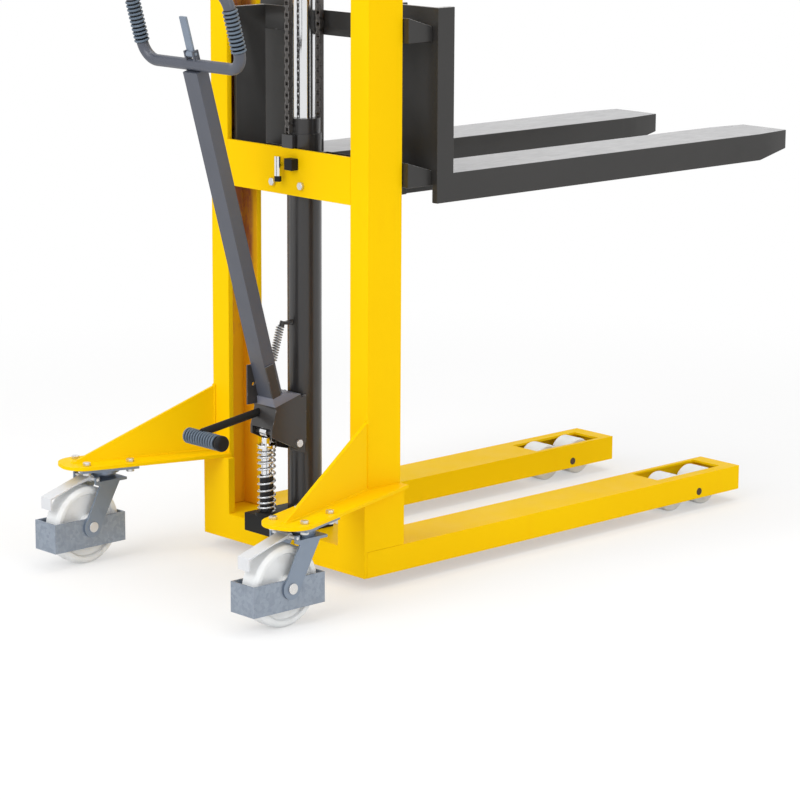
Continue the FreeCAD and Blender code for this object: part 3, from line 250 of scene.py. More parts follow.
@cache
def grime_group() -> Tree:
    """Mask of faint runs and blotches.

    Returns:
        The group.
    """
    wires = Group("grime", "Shader", "Mask", Vector="Vector", Scale=6.0, Runs=0.5)
    place, scale, share = wires.given[:3]
    blotch = wires.noise(place, scale, 5.0, 0.62)
    runs = wires.noise(wires.stretched(place, (1.0, 1.0, 0.08)), wires.times(scale, 9.0))
    low = wires.calc("MULTIPLY_ADD", share, 0.5, 0.5)
    return wires.end(wires.ramp(wires.calc("MULTIPLY_ADD", runs, share, blotch), low,
                                wires.calc("ADD", low, 0.3)))


class Brush(Wires):
    """A new material's wires, with its shader and its object coordinates."""

    def __init__(self, name: str, colour: Triple) -> None:
        """Starts the material.

        Args:
            name: its name.
            colour: its plain colour.
        """
        self.material = bpy.data.materials.new(name)
        self.material.use_nodes = True
        self.material.diffuse_color = (*colour, 1.0)
        super().__init__(self.material.node_tree)
        self.shader = self.tree.nodes["Principled BSDF"]
        self.place = self.add("ShaderNodeTexCoord").outputs["Object"]

    def effect(self, group: Tree, **amounts: float) -> Socket:
        """Adds a shared effect and gives its result."""
        return self.out("ShaderNodeGroup", {"Vector": self.place, **amounts}, node_tree=group)

    def put(self, values: Inputs) -> None:
        """Feeds the shader's inputs, by name."""
        for name, value in values.items():
            self.feed(self.shader.inputs[name], value)

    def bump(self, height: Socket, strength: float, depth: float) -> None:
        """Joins a height to the shader's normal."""
        inputs = {"Height": height, "Strength": strength, "Distance": depth}
        self.put({"Normal": self.out("ShaderNodeBump", inputs)})


@dataclass(frozen=True)
class Finish:
    """What every finish has."""

    name: str  # the material's name
    slot: str  # the record's material slot
    colour: Triple  # base colour, linear
    roughness: float  # middle of its roughness

    @cache
    def material(self) -> Material:
        """The finish's material, built at its first use."""
        self.paint(brush := Brush(self.name, self.colour))
        return brush.material

    def paint(self, brush: Brush) -> None:
        """Fills the material; each kind of finish has its own way."""
        raise NotImplementedError


@dataclass(frozen=True)
class Enamel(Finish):
    """Sprayed paint."""

    shade: Triple = (0.5, 0.5, 0.5)  # its deeper patches
    bare: Triple = (0.3, 0.3, 0.31)  # what wear lays bare
    wear: float = 0.4  # wear along edges
    gloss: float = 0.3  # specular level
    coat: float = 0.0  # clear coat's weight
    track_web: float = 0.0  # X of the web of a channel whose inside takes painted shade and grease, or 0
    track_middle: float = 0.0  # Y of the channel's middle
    track_half: float = 0.0  # half its depth between the flanges
    dust: float = 0.0  # grey dusting together with a painted sheen of light on faces that look up

    def paint(self, brush: Brush) -> None:
        """Sprays the paint.

        Args:
            brush: the material's wires.
        """
        grime = brush.effect(grime_group(), Scale=5.0)
        wear = brush.effect(wear_group(), Amount=self.wear)
        relief = brush.effect(relief_group(), Scale=420.0)
        patches = brush.ramp(brush.noise(brush.place, 2.2, 4.0), 0.35, 0.75, 0.0, 0.5)
        deeper = brush.calc("MAXIMUM", patches, brush.times(grime, 0.45))
        colour = brush.mix(deeper, self.colour, self.shade)
        rough = brush.ramp(brush.noise(brush.place, 14.0, 4.0), 0.3, 0.7,
                           self.roughness - 0.05, self.roughness + 0.07)
        # Grey dusting and a painted sheen of light: faces that look up turn grey in streaks.
        if self.dust:
            normal = brush.add("ShaderNodeNewGeometry").outputs["Normal"]
            up = brush.add("ShaderNodeSeparateXYZ", {"Vector": normal}).outputs["Z"]
            drawn = brush.noise(brush.stretched(brush.place, (30.0, 4.0, 30.0)), 6.0, 5.0, 0.6)
            dust_and_sheen_mask = brush.times(brush.times(brush.ramp(up, 0.6, 0.95), self.dust),
                               brush.ramp(drawn, 0.3, 0.7, 0.78, 1.0))
            colour = brush.mix(dust_and_sheen_mask, colour, DUST_AND_SHEEN_GREY)
            rough = brush.calc("MULTIPLY_ADD", dust_and_sheen_mask, 0.25, rough)
        # Painted shade: the channel's inside is tinted orange; real grease cakes in streaks on its web.
        if self.track_web:
            inside, caked = self._grease(brush)
            shaded_channel = brush.mix(brush.times(inside, 0.75), colour, CHANNEL_SHADE_TINT)
            colour = brush.mix(caked, shaded_channel, GREASE_CAKE)
            rough = brush.calc("MULTIPLY_ADD", caked, -0.1, rough)
        brush.put({"Specular IOR Level": self.gloss, "Coat Weight": self.coat,
                   "Coat Roughness": COAT_ROUGHNESS, "Base Color": brush.mix(wear, colour, self.bare),
                   "Roughness": brush.calc("MULTIPLY_ADD", wear, 0.2, rough)})
        brush.bump(relief, 0.1, 0.0006)

    def _grease(self, brush: Brush) -> tuple[Socket, Socket]:
        """Masks of the painted shade inside a channel and of the old grease that the rollers leave on its
        web.

        Args:
            brush: the material's wires.

        Returns:
            The mask of the painted shade inside the channel, and that of the grease cake on its web.
        """
        across, deep, height = brush.add("ShaderNodeSeparateXYZ", {"Vector": brush.place}).outputs
        out = brush.calc("ABSOLUTE", across)
        deep = brush.calc("ABSOLUTE", brush.calc("SUBTRACT", deep, self.track_middle))
        inside = brush.times(*(brush.ramp(value, limit + 0.5 * MM, limit + 1.5 * MM, 1.0, 0.0)
                               for value, limit in ((deep, self.track_half), (out, self.track_web))))
        runs = brush.noise(brush.stretched(brush.place, (44.0, 44.0, 17.0)), 1.0, 6.0, 0.75)
        near = brush.ramp(out, self.track_web - 0.042, self.track_web - 0.026)
        above = brush.ramp(brush.calc("MULTIPLY_ADD", runs, 0.3, height), 0.66, 0.82)
        streaks = brush.ramp(runs, 0.4, 0.6, 0.6, 1.0)
        return inside, brush.times(brush.times(brush.times(inside, near), above), streaks)


@dataclass(frozen=True)
class Metal(Finish):
    """Bare or plated metal."""

    skin: Skin = Skin.PLATED  # kind of surface
    tarnish: Triple = (0.3, 0.3, 0.3)  # its duller patches
    metallic: float = 0.9  # how metallic it is
    stain: float = 0.4  # share of the duller patches

    def paint(self, brush: Brush) -> None:
        """Plates, brushes or polishes the metal.

        Args:
            brush: the material's wires.
        """
        grime = brush.effect(grime_group(), Scale=18.0, Runs=0.2)
        relief = brush.effect(relief_group())
        spread, strength = self.skin.value
        if self.skin is Skin.SPANGLED:
            cells = brush.add("ShaderNodeTexVoronoi", {"Vector": brush.place, "Scale": 130.0})
            pattern = brush.out("ShaderNodeSeparateColor", {"Color": cells.outputs["Color"]})
        elif self.skin is Skin.BRUSHED:
            pattern = brush.noise(brush.stretched(brush.place, (160.0, 160.0, 4.0)), 4.0)
        else:
            pattern = brush.noise(brush.place, 45.0, 4.0, 0.6)
        dull = brush.calc("MAXIMUM", brush.times(grime, self.stain), brush.times(pattern, self.stain * 0.5))
        brush.put({"Metallic": self.metallic, "Base Color": brush.mix(dull, self.colour, self.tarnish),
                   "Roughness": brush.ramp(pattern, 0.2, 0.8, self.roughness - spread / 2,
                                           self.roughness + spread / 2)})
        brush.bump(relief, strength, 0.0004)


@dataclass(frozen=True)
class Moulding(Finish):
    """Nylon or rubber."""

    soiled: Triple = (0.3, 0.3, 0.3)  # its soiled patches
    soil: float = 0.3  # share of them
    grain: float = 300.0  # scale of the moulded grain
    grain_depth: float = 0.15  # strength of the grain
    gloss: float = 0.4  # specular level

    def paint(self, brush: Brush) -> None:
        """Moulds the surface.

        Args:
            brush: the material's wires.
        """
        grime = brush.effect(grime_group(), Scale=16.0, Runs=0.1)
        wear = brush.effect(wear_group(), Amount=0.7)
        relief = brush.effect(relief_group(), Scale=self.grain)
        mottle = brush.ramp(brush.noise(brush.place, 30.0, 4.0), 0.35, 0.8, 0.0, 0.35)
        dirt = brush.calc("ADD", brush.calc("MAXIMUM", grime, wear), mottle, clamp=True)
        brush.put({"Specular IOR Level": self.gloss,
                   "Base Color": brush.mix(brush.times(dirt, self.soil), self.colour, self.soiled),
                   "Roughness": brush.calc("MULTIPLY_ADD", mottle, 0.3, self.roughness)})
        brush.bump(relief, self.grain_depth, 0.0005)


YELLOW = Enamel("yellow_enamel", "yellow_paint", (0.95, 0.6, 0.002), 0.36, shade=(0.92, 0.54, 0.002),
                bare=(0.55, 0.4, 0.12), wear=0.25, gloss=0.02)
# Yellow enamel with painted shade inside the mast channels and grease on their webs.
YELLOW_TRACK = replace(YELLOW, name="yellow_track_enamel", track_web=0.259, track_middle=-0.4225,
                       track_half=0.0365)
BLACK = Enamel("black_enamel", "black_paint", (0.024, 0.023, 0.024), 0.34, shade=(0.036, 0.034, 0.034),
               bare=(0.16, 0.16, 0.165), wear=0.5, gloss=0.5, coat=0.25)
# A darker copy of the black enamel: painted shade on the pump block and the pedal arm.
SHADED_CAST = Enamel("cast_enamel", "black_paint", (0.01, 0.01, 0.01), 0.5, shade=(0.02, 0.019, 0.018),
              bare=(0.14, 0.14, 0.145), wear=0.5, gloss=0.2)
# Its grey dusting also paints a sheen of light on the lever's upper faces.
LEVER_BLACK = Enamel("lever_enamel", "black_paint", (0.03, 0.028, 0.028), 0.36, shade=(0.04, 0.037, 0.036),
                     bare=(0.3, 0.31, 0.34), wear=0.6, gloss=0.5, coat=0.2, dust=0.3)
# Lighter grey enamel: a painted highlight on the lever's sloping collar, with wear along its edges.
COLLAR_HIGHLIGHT_GREY = Enamel("rubbed_enamel", "black_paint", (0.2, 0.21, 0.26), 0.4, shade=(0.12, 0.125, 0.155),
                     bare=(0.4, 0.41, 0.46), wear=0.6, gloss=0.4)
# Its grey dusting also paints the light on the forks' top faces.
FORK_BLACK = Enamel("fork_enamel", "black_paint", (0.024, 0.023, 0.022), 0.38, shade=(0.036, 0.034, 0.032),
                    bare=(0.22, 0.22, 0.22), wear=0.6, gloss=0.4, coat=0.05, dust=0.76)
GREY = Enamel("grey_enamel", "grey_paint", (0.072, 0.08, 0.104), 0.4, shade=(0.055, 0.06, 0.078),
              gloss=0.5, coat=0.1)
ZINC = Metal("zinc_plate", "zinc", (0.25, 0.3, 0.375), 0.36, tarnish=(0.15, 0.18, 0.23), metallic=0.7,
             stain=0.5)
GALVANISED = Metal("galvanised_sheet", "zinc", (0.3, 0.345, 0.41), 0.42, skin=Skin.SPANGLED,
                   tarnish=(0.15, 0.18, 0.23), metallic=0.6, stain=0.6)
BRIGHT_ZINC = Metal("bright_zinc", "zinc", (0.7, 0.7, 0.7), 0.28, tarnish=(0.42, 0.38, 0.32), metallic=0.85)
PEDAL_ZINC = Metal("pedal_zinc", "zinc", (0.72, 0.735, 0.76), 0.5, tarnish=(0.5, 0.515, 0.54), metallic=0.35)
STEEL = Metal("oiled_steel", "steel", (0.3, 0.3, 0.31), 0.38, skin=Skin.BRUSHED, tarnish=(0.1, 0.09, 0.08),
              stain=0.7)
SPRING = Metal("spring_wire", "steel", (0.66, 0.68, 0.71), 0.26, tarnish=(0.3, 0.3, 0.31), stain=0.5)
RETURN_WIRE = Metal("return_wire", "steel", (0.45, 0.46, 0.48), 0.3, tarnish=(0.15, 0.15, 0.15), stain=0.6)
CHAIN = Metal("chain_steel", "steel", (0.2, 0.19, 0.185), 0.4, tarnish=(0.06, 0.05, 0.04), stain=0.8)
RUSTED = Metal("greasy_steel", "steel", (0.09, 0.055, 0.03), 0.5, tarnish=(0.03, 0.02, 0.012), metallic=0.5,
               stain=0.8)
BARREL = Metal("barrel_steel", "steel", (0.03, 0.03, 0.032), 0.4, skin=Skin.BRUSHED,
               tarnish=(0.012, 0.012, 0.012))
CHROME = Metal("hard_chrome", "chrome", (0.78, 0.79, 0.8), 0.12, skin=Skin.POLISHED, tarnish=(0.5, 0.5, 0.52),
               metallic=1.0, stain=0.25)
NYLON = Moulding("white_nylon", "nylon", (0.84, 0.855, 0.86), 0.42, soiled=(0.58, 0.57, 0.54), soil=0.4)
RUBBER = Moulding("black_rubber", "black_rubber", (0.008, 0.008, 0.009), 0.5, soiled=(0.03, 0.03, 0.032),
                  soil=0.4, grain=500.0, grain_depth=0.3, gloss=0.2)
# Bluish grey rubber: a painted highlight on the ring crests of the ribbed sleeves.
RIB_HIGHLIGHT_RUBBER = Moulding("ribbed_rubber", "black_rubber", (0.1, 0.135, 0.18), 0.4, soiled=(0.22, 0.27, 0.33),
                         soil=0.6, grain=500.0, grain_depth=0.3)
Rows = list[tuple[str, Finish, float]]


@dataclass
class Assembly:
    """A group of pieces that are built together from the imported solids."""

    nodes: dict[str, Piece]  # the solids
    body_of: dict[str, str]  # the body that each solid rides on

    def build(self) -> list[Piece]:
        """Dresses the plain solids and makes the other pieces."""
        return [self.dress(*row) for row in self.rows()] + self.others()

    def rows(self) -> Rows:
        """Each plain solid's name, finish and softened edge."""
        raise NotImplementedError

    def others(self) -> list[Piece]:
        """The pieces that need more than a finish and an edge."""
        return []

    def dress(self, node: str, finish: Finish, edge: float) -> Piece:
        """Replaces a solid by a copy with softened edges.

        Args:
            node: the solid's name.
            finish: its finish.
            edge: how far its sharp outer edges are taken off.

        Returns:
            The piece.
        """
        form = bmesh.new()
        form.from_mesh(self.nodes[node].data)
        bmesh.ops.remove_doubles(form, verts=form.verts, dist=MERGE_DISTANCE)
        bmesh.ops.dissolve_limit(form, angle_limit=FLAT_ANGLE, verts=form.verts, edges=form.edges)
        sharp = [e for e in form.edges if len(e.link_faces) == 2 and e.is_convex
                 and e.calc_face_angle(0.0) > SHARP_ANGLE]
        bmesh.ops.bevel(form, geom=sharp, offset=edge * MM, offset_type="OFFSET", segments=EDGE_STEPS,
                        profile=0.5, affect="EDGES", clamp_overlap=True)
        for face in form.faces:
            face.smooth = True
        mesh = made_mesh(node + "_dressed", form)
        mesh.set_sharp_from_angle(angle=SHADE_ANGLE)
        piece = placed(node + "_dressed", mesh, finish)
        piece.modifiers.new("even_normals", "WEIGHTED_NORMAL").keep_sharp = True
        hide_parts(node)
        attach(piece, self.body_of[node])
        return piece


class Growth(Group):
    """A geometry tree that ends in real geometry with its material."""

    def __init__(self, name: str, **sizes: object) -> None:
        """Starts the tree with its sizes' default values or kinds."""
        super().__init__(name, "Geometry", "Geometry", Geometry="Geometry", **sizes, Material="Material")

    def end(self, value: Socket, smooth: bool = True) -> Tree:
        """Ends the tree.

        Args:
            value: the geometry made so far.
            smooth: whether its faces are shaded smooth.

        Returns:
            The finished tree.
        """
        real = self.out("GeometryNodeRealizeInstances", {"Geometry": value})
        shaded = self.out("GeometryNodeSetShadeSmooth", {"Geometry": real, "Shade Smooth": smooth})
        return super().end(self.out("GeometryNodeSetMaterial", {
            "Geometry": shaded, "Material": self.given["Material"]}))


@cache
def coil_tree() -> Tree:
    """Tree of a coil spring along Z whose turns draw together towards its ends.

    Returns:
        The tree.
    """
    wires = Growth("coil_spring", Radius=0.02, Wire=0.0025, Height=0.1, Turns=8.0, Closing=0.4, Points=400)
    given = wires.given
    line = wires.out("GeometryNodeMeshLine", {"Count": given["Points"], "Offset": (0.0, 0.0, 0.0)})
    share = wires.calc("DIVIDE", wires.out("GeometryNodeInputIndex"),
                       wires.calc("SUBTRACT", given["Points"], 1.0))
    whole = wires.times(share, 2 * pi)
    turn = wires.times(whole, given["Turns"])
    pull = wires.times(wires.calc("SINE", whole), wires.calc("DIVIDE", given["Closing"], 2 * pi))
    spot = wires.out("ShaderNodeCombineXYZ", {
        "X": wires.times(given["Radius"], wires.calc("COSINE", turn)),
        "Y": wires.times(given["Radius"], wires.calc("SINE", turn)),
        "Z": wires.times(given["Height"], wires.calc("SUBTRACT", share, pull))})
    wound = wires.out("GeometryNodeSetPosition", {"Geometry": line, "Position": spot})
    path = wires.out("GeometryNodeMeshToCurve", {"Mesh": wound})
    ring = wires.out("GeometryNodeCurvePrimitiveCircle", {"Resolution": 12, "Radius": given["Wire"]})
    return wires.end(wires.out("GeometryNodeCurveToMesh", {
        "Curve": path, "Profile Curve": ring, "Fill Caps": True}))


@cache
def ribbed_tree() -> Tree:
    """Tree of a sleeve along Z with raised rings and plain ends.

    Returns:
        The tree.
    """
    wires = Growth("ribbed_sleeve", Radius=0.018, Rib=0.002, Start=0.0, Pitch=0.006, Ribs=12, Length=0.1)
    given, rib = wires.given, wires.given["Rib"]
    middle = wires.calc("SUBTRACT", given["Radius"], rib)
    ring, section = (wires.out("GeometryNodeCurvePrimitiveCircle", {"Resolution": count, "Radius": radius})
                     for count, radius in ((48, middle), (10, rib)))
    hoop = wires.out("GeometryNodeCurveToMesh", {"Curve": ring, "Profile Curve": section})
    first, step = (wires.out("ShaderNodeCombineXYZ", {"Z": given[key]}) for key in ("Start", "Pitch"))
    row = wires.out("GeometryNodeMeshLine", {"Count": given["Ribs"], "Start Location": first, "Offset": step})
    hoops = wires.out("GeometryNodeInstanceOnPoints", {"Points": row, "Instance": hoop})
    valley = wires.calc("SUBTRACT", middle, wires.times(rib, 0.35))
    core = wires.out("GeometryNodeMeshCylinder", {"Vertices": 48, "Radius": valley, "Depth": given["Length"]})
    joined = wires.add("GeometryNodeJoinGeometry")
    for part in (core, hoops):
        wires.feed(joined.inputs[0], part)
    return wires.end(joined.outputs[0])


@cache
def chain_tree() -> Tree:
    """Tree that lays outer and inner chain links by turns along a path.

    Returns:
        The tree.
    """
    wires = Growth("leaf_chain", Outer="Object", Inner="Object", Links=40)
    path = wires.out("GeometryNodeMeshToCurve", {"Mesh": wires.given["Geometry"]})
    spaced = wires.out("GeometryNodeResampleCurve", {"Curve": path, "Count": wires.given["Links"]})
    along = wires.out("GeometryNodeInputTangent")
    turned = wires.out("FunctionNodeAlignRotationToVector", {"Vector": along}, axis="Z", pivot_axis="X")
    odd = wires.calc("MODULO", wires.out("GeometryNodeInputIndex"), 2.0)
    joined = wires.add("GeometryNodeJoinGeometry")
    for key, chosen in (("Outer", wires.calc("SUBTRACT", 1.0, odd)), ("Inner", odd)):
        link = wires.add("GeometryNodeObjectInfo", {"Object": wires.given[key], "As Instance": True})
        wires.feed(joined.inputs[0], wires.out("GeometryNodeInstanceOnPoints", {
            "Points": spaced, "Selection": chosen, "Instance": link.outputs["Geometry"], "Rotation": turned}))
    return wires.end(joined.outputs[0], smooth=False)


@cache
def seam_tree() -> Tree:
    """Tree that lays overlapping weld drops of slightly different sizes along a mesh's edges.

    Returns:
        The tree.
    """
    wires = Growth("weld_seam", Bead=0.003, Pitch=0.003)
    path = wires.out("GeometryNodeMeshToCurve", {"Mesh": wires.given["Geometry"]})
    spaced = wires.out("GeometryNodeResampleCurve", {"Curve": path, "Length": wires.given["Pitch"]},
                       mode="LENGTH")
    drop = wires.out("GeometryNodeMeshIcoSphere", {"Radius": wires.given["Bead"], "Subdivisions": 2})
    size = wires.add("FunctionNodeRandomValue", {2: 0.85, 3: 1.1, "Seed": 7}, data_type="FLOAT")
    return wires.end(wires.out("GeometryNodeInstanceOnPoints", {
        "Points": spaced, "Instance": drop, "Scale": size.outputs[1]}))


def linked(name: str, data: bpy.types.ID) -> Piece:
    """Links a new object with its data."""
    bpy.context.scene.collection.objects.link(item := bpy.data.objects.new(name, data))
    return item


def placed(name: str, mesh: Mesh, finish: Finish) -> Piece:
    """Links a mesh as a piece with its finish's material.

    Args:
        name: the piece's name.
        mesh: its mesh, already in place.
        finish: its finish.

    Returns:
        The piece.
    """
    mesh.materials.clear()
    mesh.materials.append(finish.material())
    mesh.polygons.foreach_set("material_index", [0] * len(mesh.polygons))
    piece = linked(name, mesh)
    return piece


def repaint(piece: Piece, finish: Finish, chosen: Callable[[Vector], bool]) -> None:
    """Gives a second finish to some faces of a piece.

    Args:
        piece: the piece.
        finish: the second finish.
        chosen: tells from a face's middle whether it takes the finish.
    """
    piece.data.materials.append(finish.material())
    for face in piece.data.polygons:
        face.material_index = int(chosen(face.center))


def grown(name: str, tree: Tree, finish: Finish, values: Inputs, base: Mesh | None = None) -> Mesh:
    """Runs a geometry tree and keeps its result as a plain mesh.

    Args:
        name: the mesh's name.
        tree: the tree.
        finish: the finish that the tree sets.
        values: the tree's other inputs, by name.
        base: the mesh that the tree starts from, if any.

    Returns:
        The mesh.
    """
    seed = linked(name + "_seed", base or bpy.data.meshes.new(name + "_seed"))
    modifier = seed.modifiers.new("grow", "NODES")
    modifier.node_group = tree
    values = {**values, "Material": finish.material()}
    for item in tree.interface.items_tree:
        if item.in_out == "INPUT" and item.name in values:
            modifier[item.identifier] = values[item.name]
    bpy.context.view_layer.update()
    mesh = bpy.data.meshes.new_from_object(seed.evaluated_get(bpy.context.evaluated_depsgraph_get()))
    mesh.name = name
    seed.modifiers.remove(modifier)
    bpy.data.objects.remove(seed)
    return mesh


def made_mesh(name: str, form: bmesh.types.BMesh) -> Mesh:
    """Turns a form into a mesh and frees it.

    Args:
        name: the mesh's name.
        form: the form.

    Returns:
        The mesh.
    """
    mesh = bpy.data.meshes.new(name)
    form.to_mesh(mesh)
    form.free()
    return mesh


def edge_mesh(name: str, runs: list[list[Vector]]) -> Mesh:
    """Makes a mesh of open runs of edges.

    Args:
        name: the mesh's name.
        runs: each run's points.

    Returns:
        The mesh.
    """
    points, edges = [], []
    for run in runs:
        first = len(points)
        points += run
        edges += [(i, i + 1) for i in range(first, len(points) - 1)]
    mesh = bpy.data.meshes.new(name)
    mesh.from_pydata(points, edges, [])
    return mesh


def turn_to(axis: Vector, place: Vector) -> Matrix:
    """Matrix that takes Z to an axis and the origin to a place."""
    return Matrix.Translation(place) @ axis.to_track_quat("Z", "Y").to_matrix().to_4x4()


def middle_of(node: str) -> Vector:
    """Middle of a solid's box."""
    low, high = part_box(node)
    return (low + high) / 2


def both(*rows: tuple[str, Finish, float]) -> Rows:
    """The rows of both sides, from names that lack the side's word."""
    return [(name + side.name.lower(), finish, edge) for side in Side for name, finish, edge in rows]


@dataclass
class WeldedFrame(Assembly):
    """Cross-member, legs, mast, beams and caster brackets, with their bolts and welds."""

    plate_edge: float = 1.6  # softened edge of cut plates
    fold_edge: float = 3.5  # softened edge of the folded legs
    bead: float = 0.0032  # radius of a weld drop
    splay: float = radians(17.8)  # angle of the caster brackets
    strip: float = 0.008  # thickness of a bracket's strip
    gusset_half: float = 0.004  # half the gusset's thickness
    gusset_tip: float = 0.073  # the gusset's rear tip behind the swivel axis
    low_pins: float = 0.15  # pins below this height are greasy

    def rows(self) -> Rows:
        """The frame's plain solids."""
        plate = self.plate_edge
        return [("rear_frame", YELLOW, plate), ("mid_beam", YELLOW, plate), ("top_beam", YELLOW, plate),
                ("frame_bolts", BRIGHT_ZINC, 0.9)] + both(
            ("leg_", YELLOW, self.fold_edge), ("mast_upright_", YELLOW_TRACK, plate),
            ("caster_bracket_", YELLOW, plate))

    def others(self) -> list[Piece]:
        """Dresses the pins, the low ones greasy, and lays the welds.

        Returns:
            The pins and the welds.
        """
        pins = self.dress("hinge_pins", BRIGHT_ZINC, 0.8)
        repaint(pins, RUSTED, lambda middle: middle.z < self.low_pins)
        return [pins, self._seams()]

    def _seams(self) -> Piece:
        """Lays the painted welds.

        Returns:
            The welds as one piece.
        """
        low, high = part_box("caster_bracket_right")
        mast_low, mast_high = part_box("mast_upright_right")
        leg_low, leg_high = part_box("leg_right")
        strip_top = low.z + self.strip
        along = Vector((sin(self.splay), -cos(self.splay), 0.0))
        across = Vector((-along.y, along.x, 0.0))
        swivel = Vector((middle_of("caster_yoke_right").x, middle_of("caster_plates").y, strip_top))
        foot = swivel + along * ((mast_low.y - swivel.y) / along.y)
        tip = swivel + along * self.gusset_tip
        rise = Vector((0, 0, high.z - strip_top))
        runs = []
        for shift in (across * -self.gusset_half, across * self.gusset_half):
            runs += [[foot + shift, tip + shift], [foot + shift, foot + shift + rise]]
        seam_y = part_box("rear_frame")[1].y - self.bead
        runs.append([Vector((leg_low.x, seam_y, z)) for z in (leg_low.z, leg_high.z)])
        runs.append([Vector((x, mast_high.y, leg_high.z)) for x in (mast_low.x, mast_high.x)])
        runs += [[Vector((-p.x, p.y, p.z)) for p in run] for run in runs]
        mesh = grown("frame_welds", seam_tree(), YELLOW, {"Bead": self.bead, "Pitch": self.bead},
                     edge_mesh("frame_weld_lines", runs))
        piece = placed("frame_welds", mesh, YELLOW)
        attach(piece, "frame")
        return piece


@dataclass
class LoadRollers(Assembly):
    """Rocking bogies and nylon rollers in the leg tips."""

    roller_edge: float = 1.5  # softened edge of the rollers

    def rows(self) -> Rows:
        """The bogies and rollers."""
        return both(("bogie_", STEEL, 1.0), ("load_roller_rear_", NYLON, self.roller_edge),
                    ("load_roller_front_", NYLON, self.roller_edge))


@dataclass
class Casters(Assembly):
    """Swivel casters with nylon wheels, foot guards and brake pedals."""

    sheet_edge: float = 1.2  # softened edge of the yokes and guards
    wheel_edge: float = 2.0  # softened edge of the wheels

    def rows(self) -> Rows:
        """The plates and both casters."""
        return [("caster_plates", ZINC, 1.0)] + both(
            ("caster_yoke_", ZINC, self.sheet_edge), ("foot_guard_", GALVANISED, self.sheet_edge),
            ("caster_axle_", BRIGHT_ZINC, 0.8), ("caster_wheel_", NYLON, self.wheel_edge),
            ("brake_pedal_", PEDAL_ZINC, 0.9))


@dataclass
class PumpUnit(Assembly):
    """Pump block, cylinder, plunger and the two coil springs."""

    turns: float = 10.5  # turns of the pump's spring
    wire: float = 0.0025  # radius of its wire
    closing: float = 0.25  # how far its end turns draw together
    steps: int = 460  # points along it
    return_turns: float = 14.0  # turns of the tiller's spring
    return_wire: float = 0.0016  # radius of its wire
    return_radius: float = 0.008  # radius of its turns
    return_steps: int = 500  # points along it

    def rows(self) -> Rows:
        """The pump's plain solids."""
        return [("pump_block", SHADED_CAST, 2.0), ("lift_cylinder", BLACK, 1.5), ("pivot_bracket", BLACK, 1.0),
                ("pump_barrel", BARREL, 0.8), ("plunger", CHROME, 1.0), ("pressure_roller", CHROME, 1.0)]

    def others(self) -> list[Piece]:
        """The two springs."""
        return [self._pump_spring(), self._return_spring()]

    def _pump_spring(self) -> Piece:
        """Winds the spring round the pump's barrel, between its seat and the plunger's collar.

        Returns:
            The spring.
        """
        low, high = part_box("pump_spring")
        centre = middle_of("plunger")
        start, end = (Vector((centre.x, centre.y, z)) for z in (low.z + self.wire, high.z - self.wire))
        mesh = grown("pump_spring_coil", coil_tree(), SPRING, {
            "Radius": (high.x - low.x) / 2 - self.wire, "Wire": self.wire, "Height": end.z - start.z,
            "Turns": self.turns, "Closing": self.closing, "Points": self.steps})
        mesh.transform(Matrix.Translation(start))
        piece = placed("pump_spring_coil", mesh, SPRING)
        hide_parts("pump_spring")
        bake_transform(piece)
        return piece

    def _return_spring(self) -> Piece:
        """Winds the spring between the tiller's lug and the cylinder's.

        Returns:
            The spring.
        """
        low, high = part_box("return_spring")
        reach = self.return_radius + self.return_wire
        lean = atan2(high.y - low.y - 2 * reach, high.z - low.z)
        up = Vector((0.0, sin(lean), cos(lean)))
        inset = Vector((0.0, reach * abs(up.z), reach * abs(up.y))) + up * self.return_wire
        start, end = Vector((0.0, low.y, low.z)) + inset, Vector((0.0, high.y, high.z)) - inset
        mesh = grown("return_spring_coil", coil_tree(), RETURN_WIRE, {
            "Radius": self.return_radius, "Wire": self.return_wire, "Height": (end - start).length,
            "Turns": self.return_turns, "Closing": 0.0, "Points": self.return_steps})
        mesh.transform(turn_to((end - start).normalized(), start))
        piece = placed("return_spring_coil", mesh, RETURN_WIRE)
        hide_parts("return_spring")
        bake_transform(piece)
        return piece


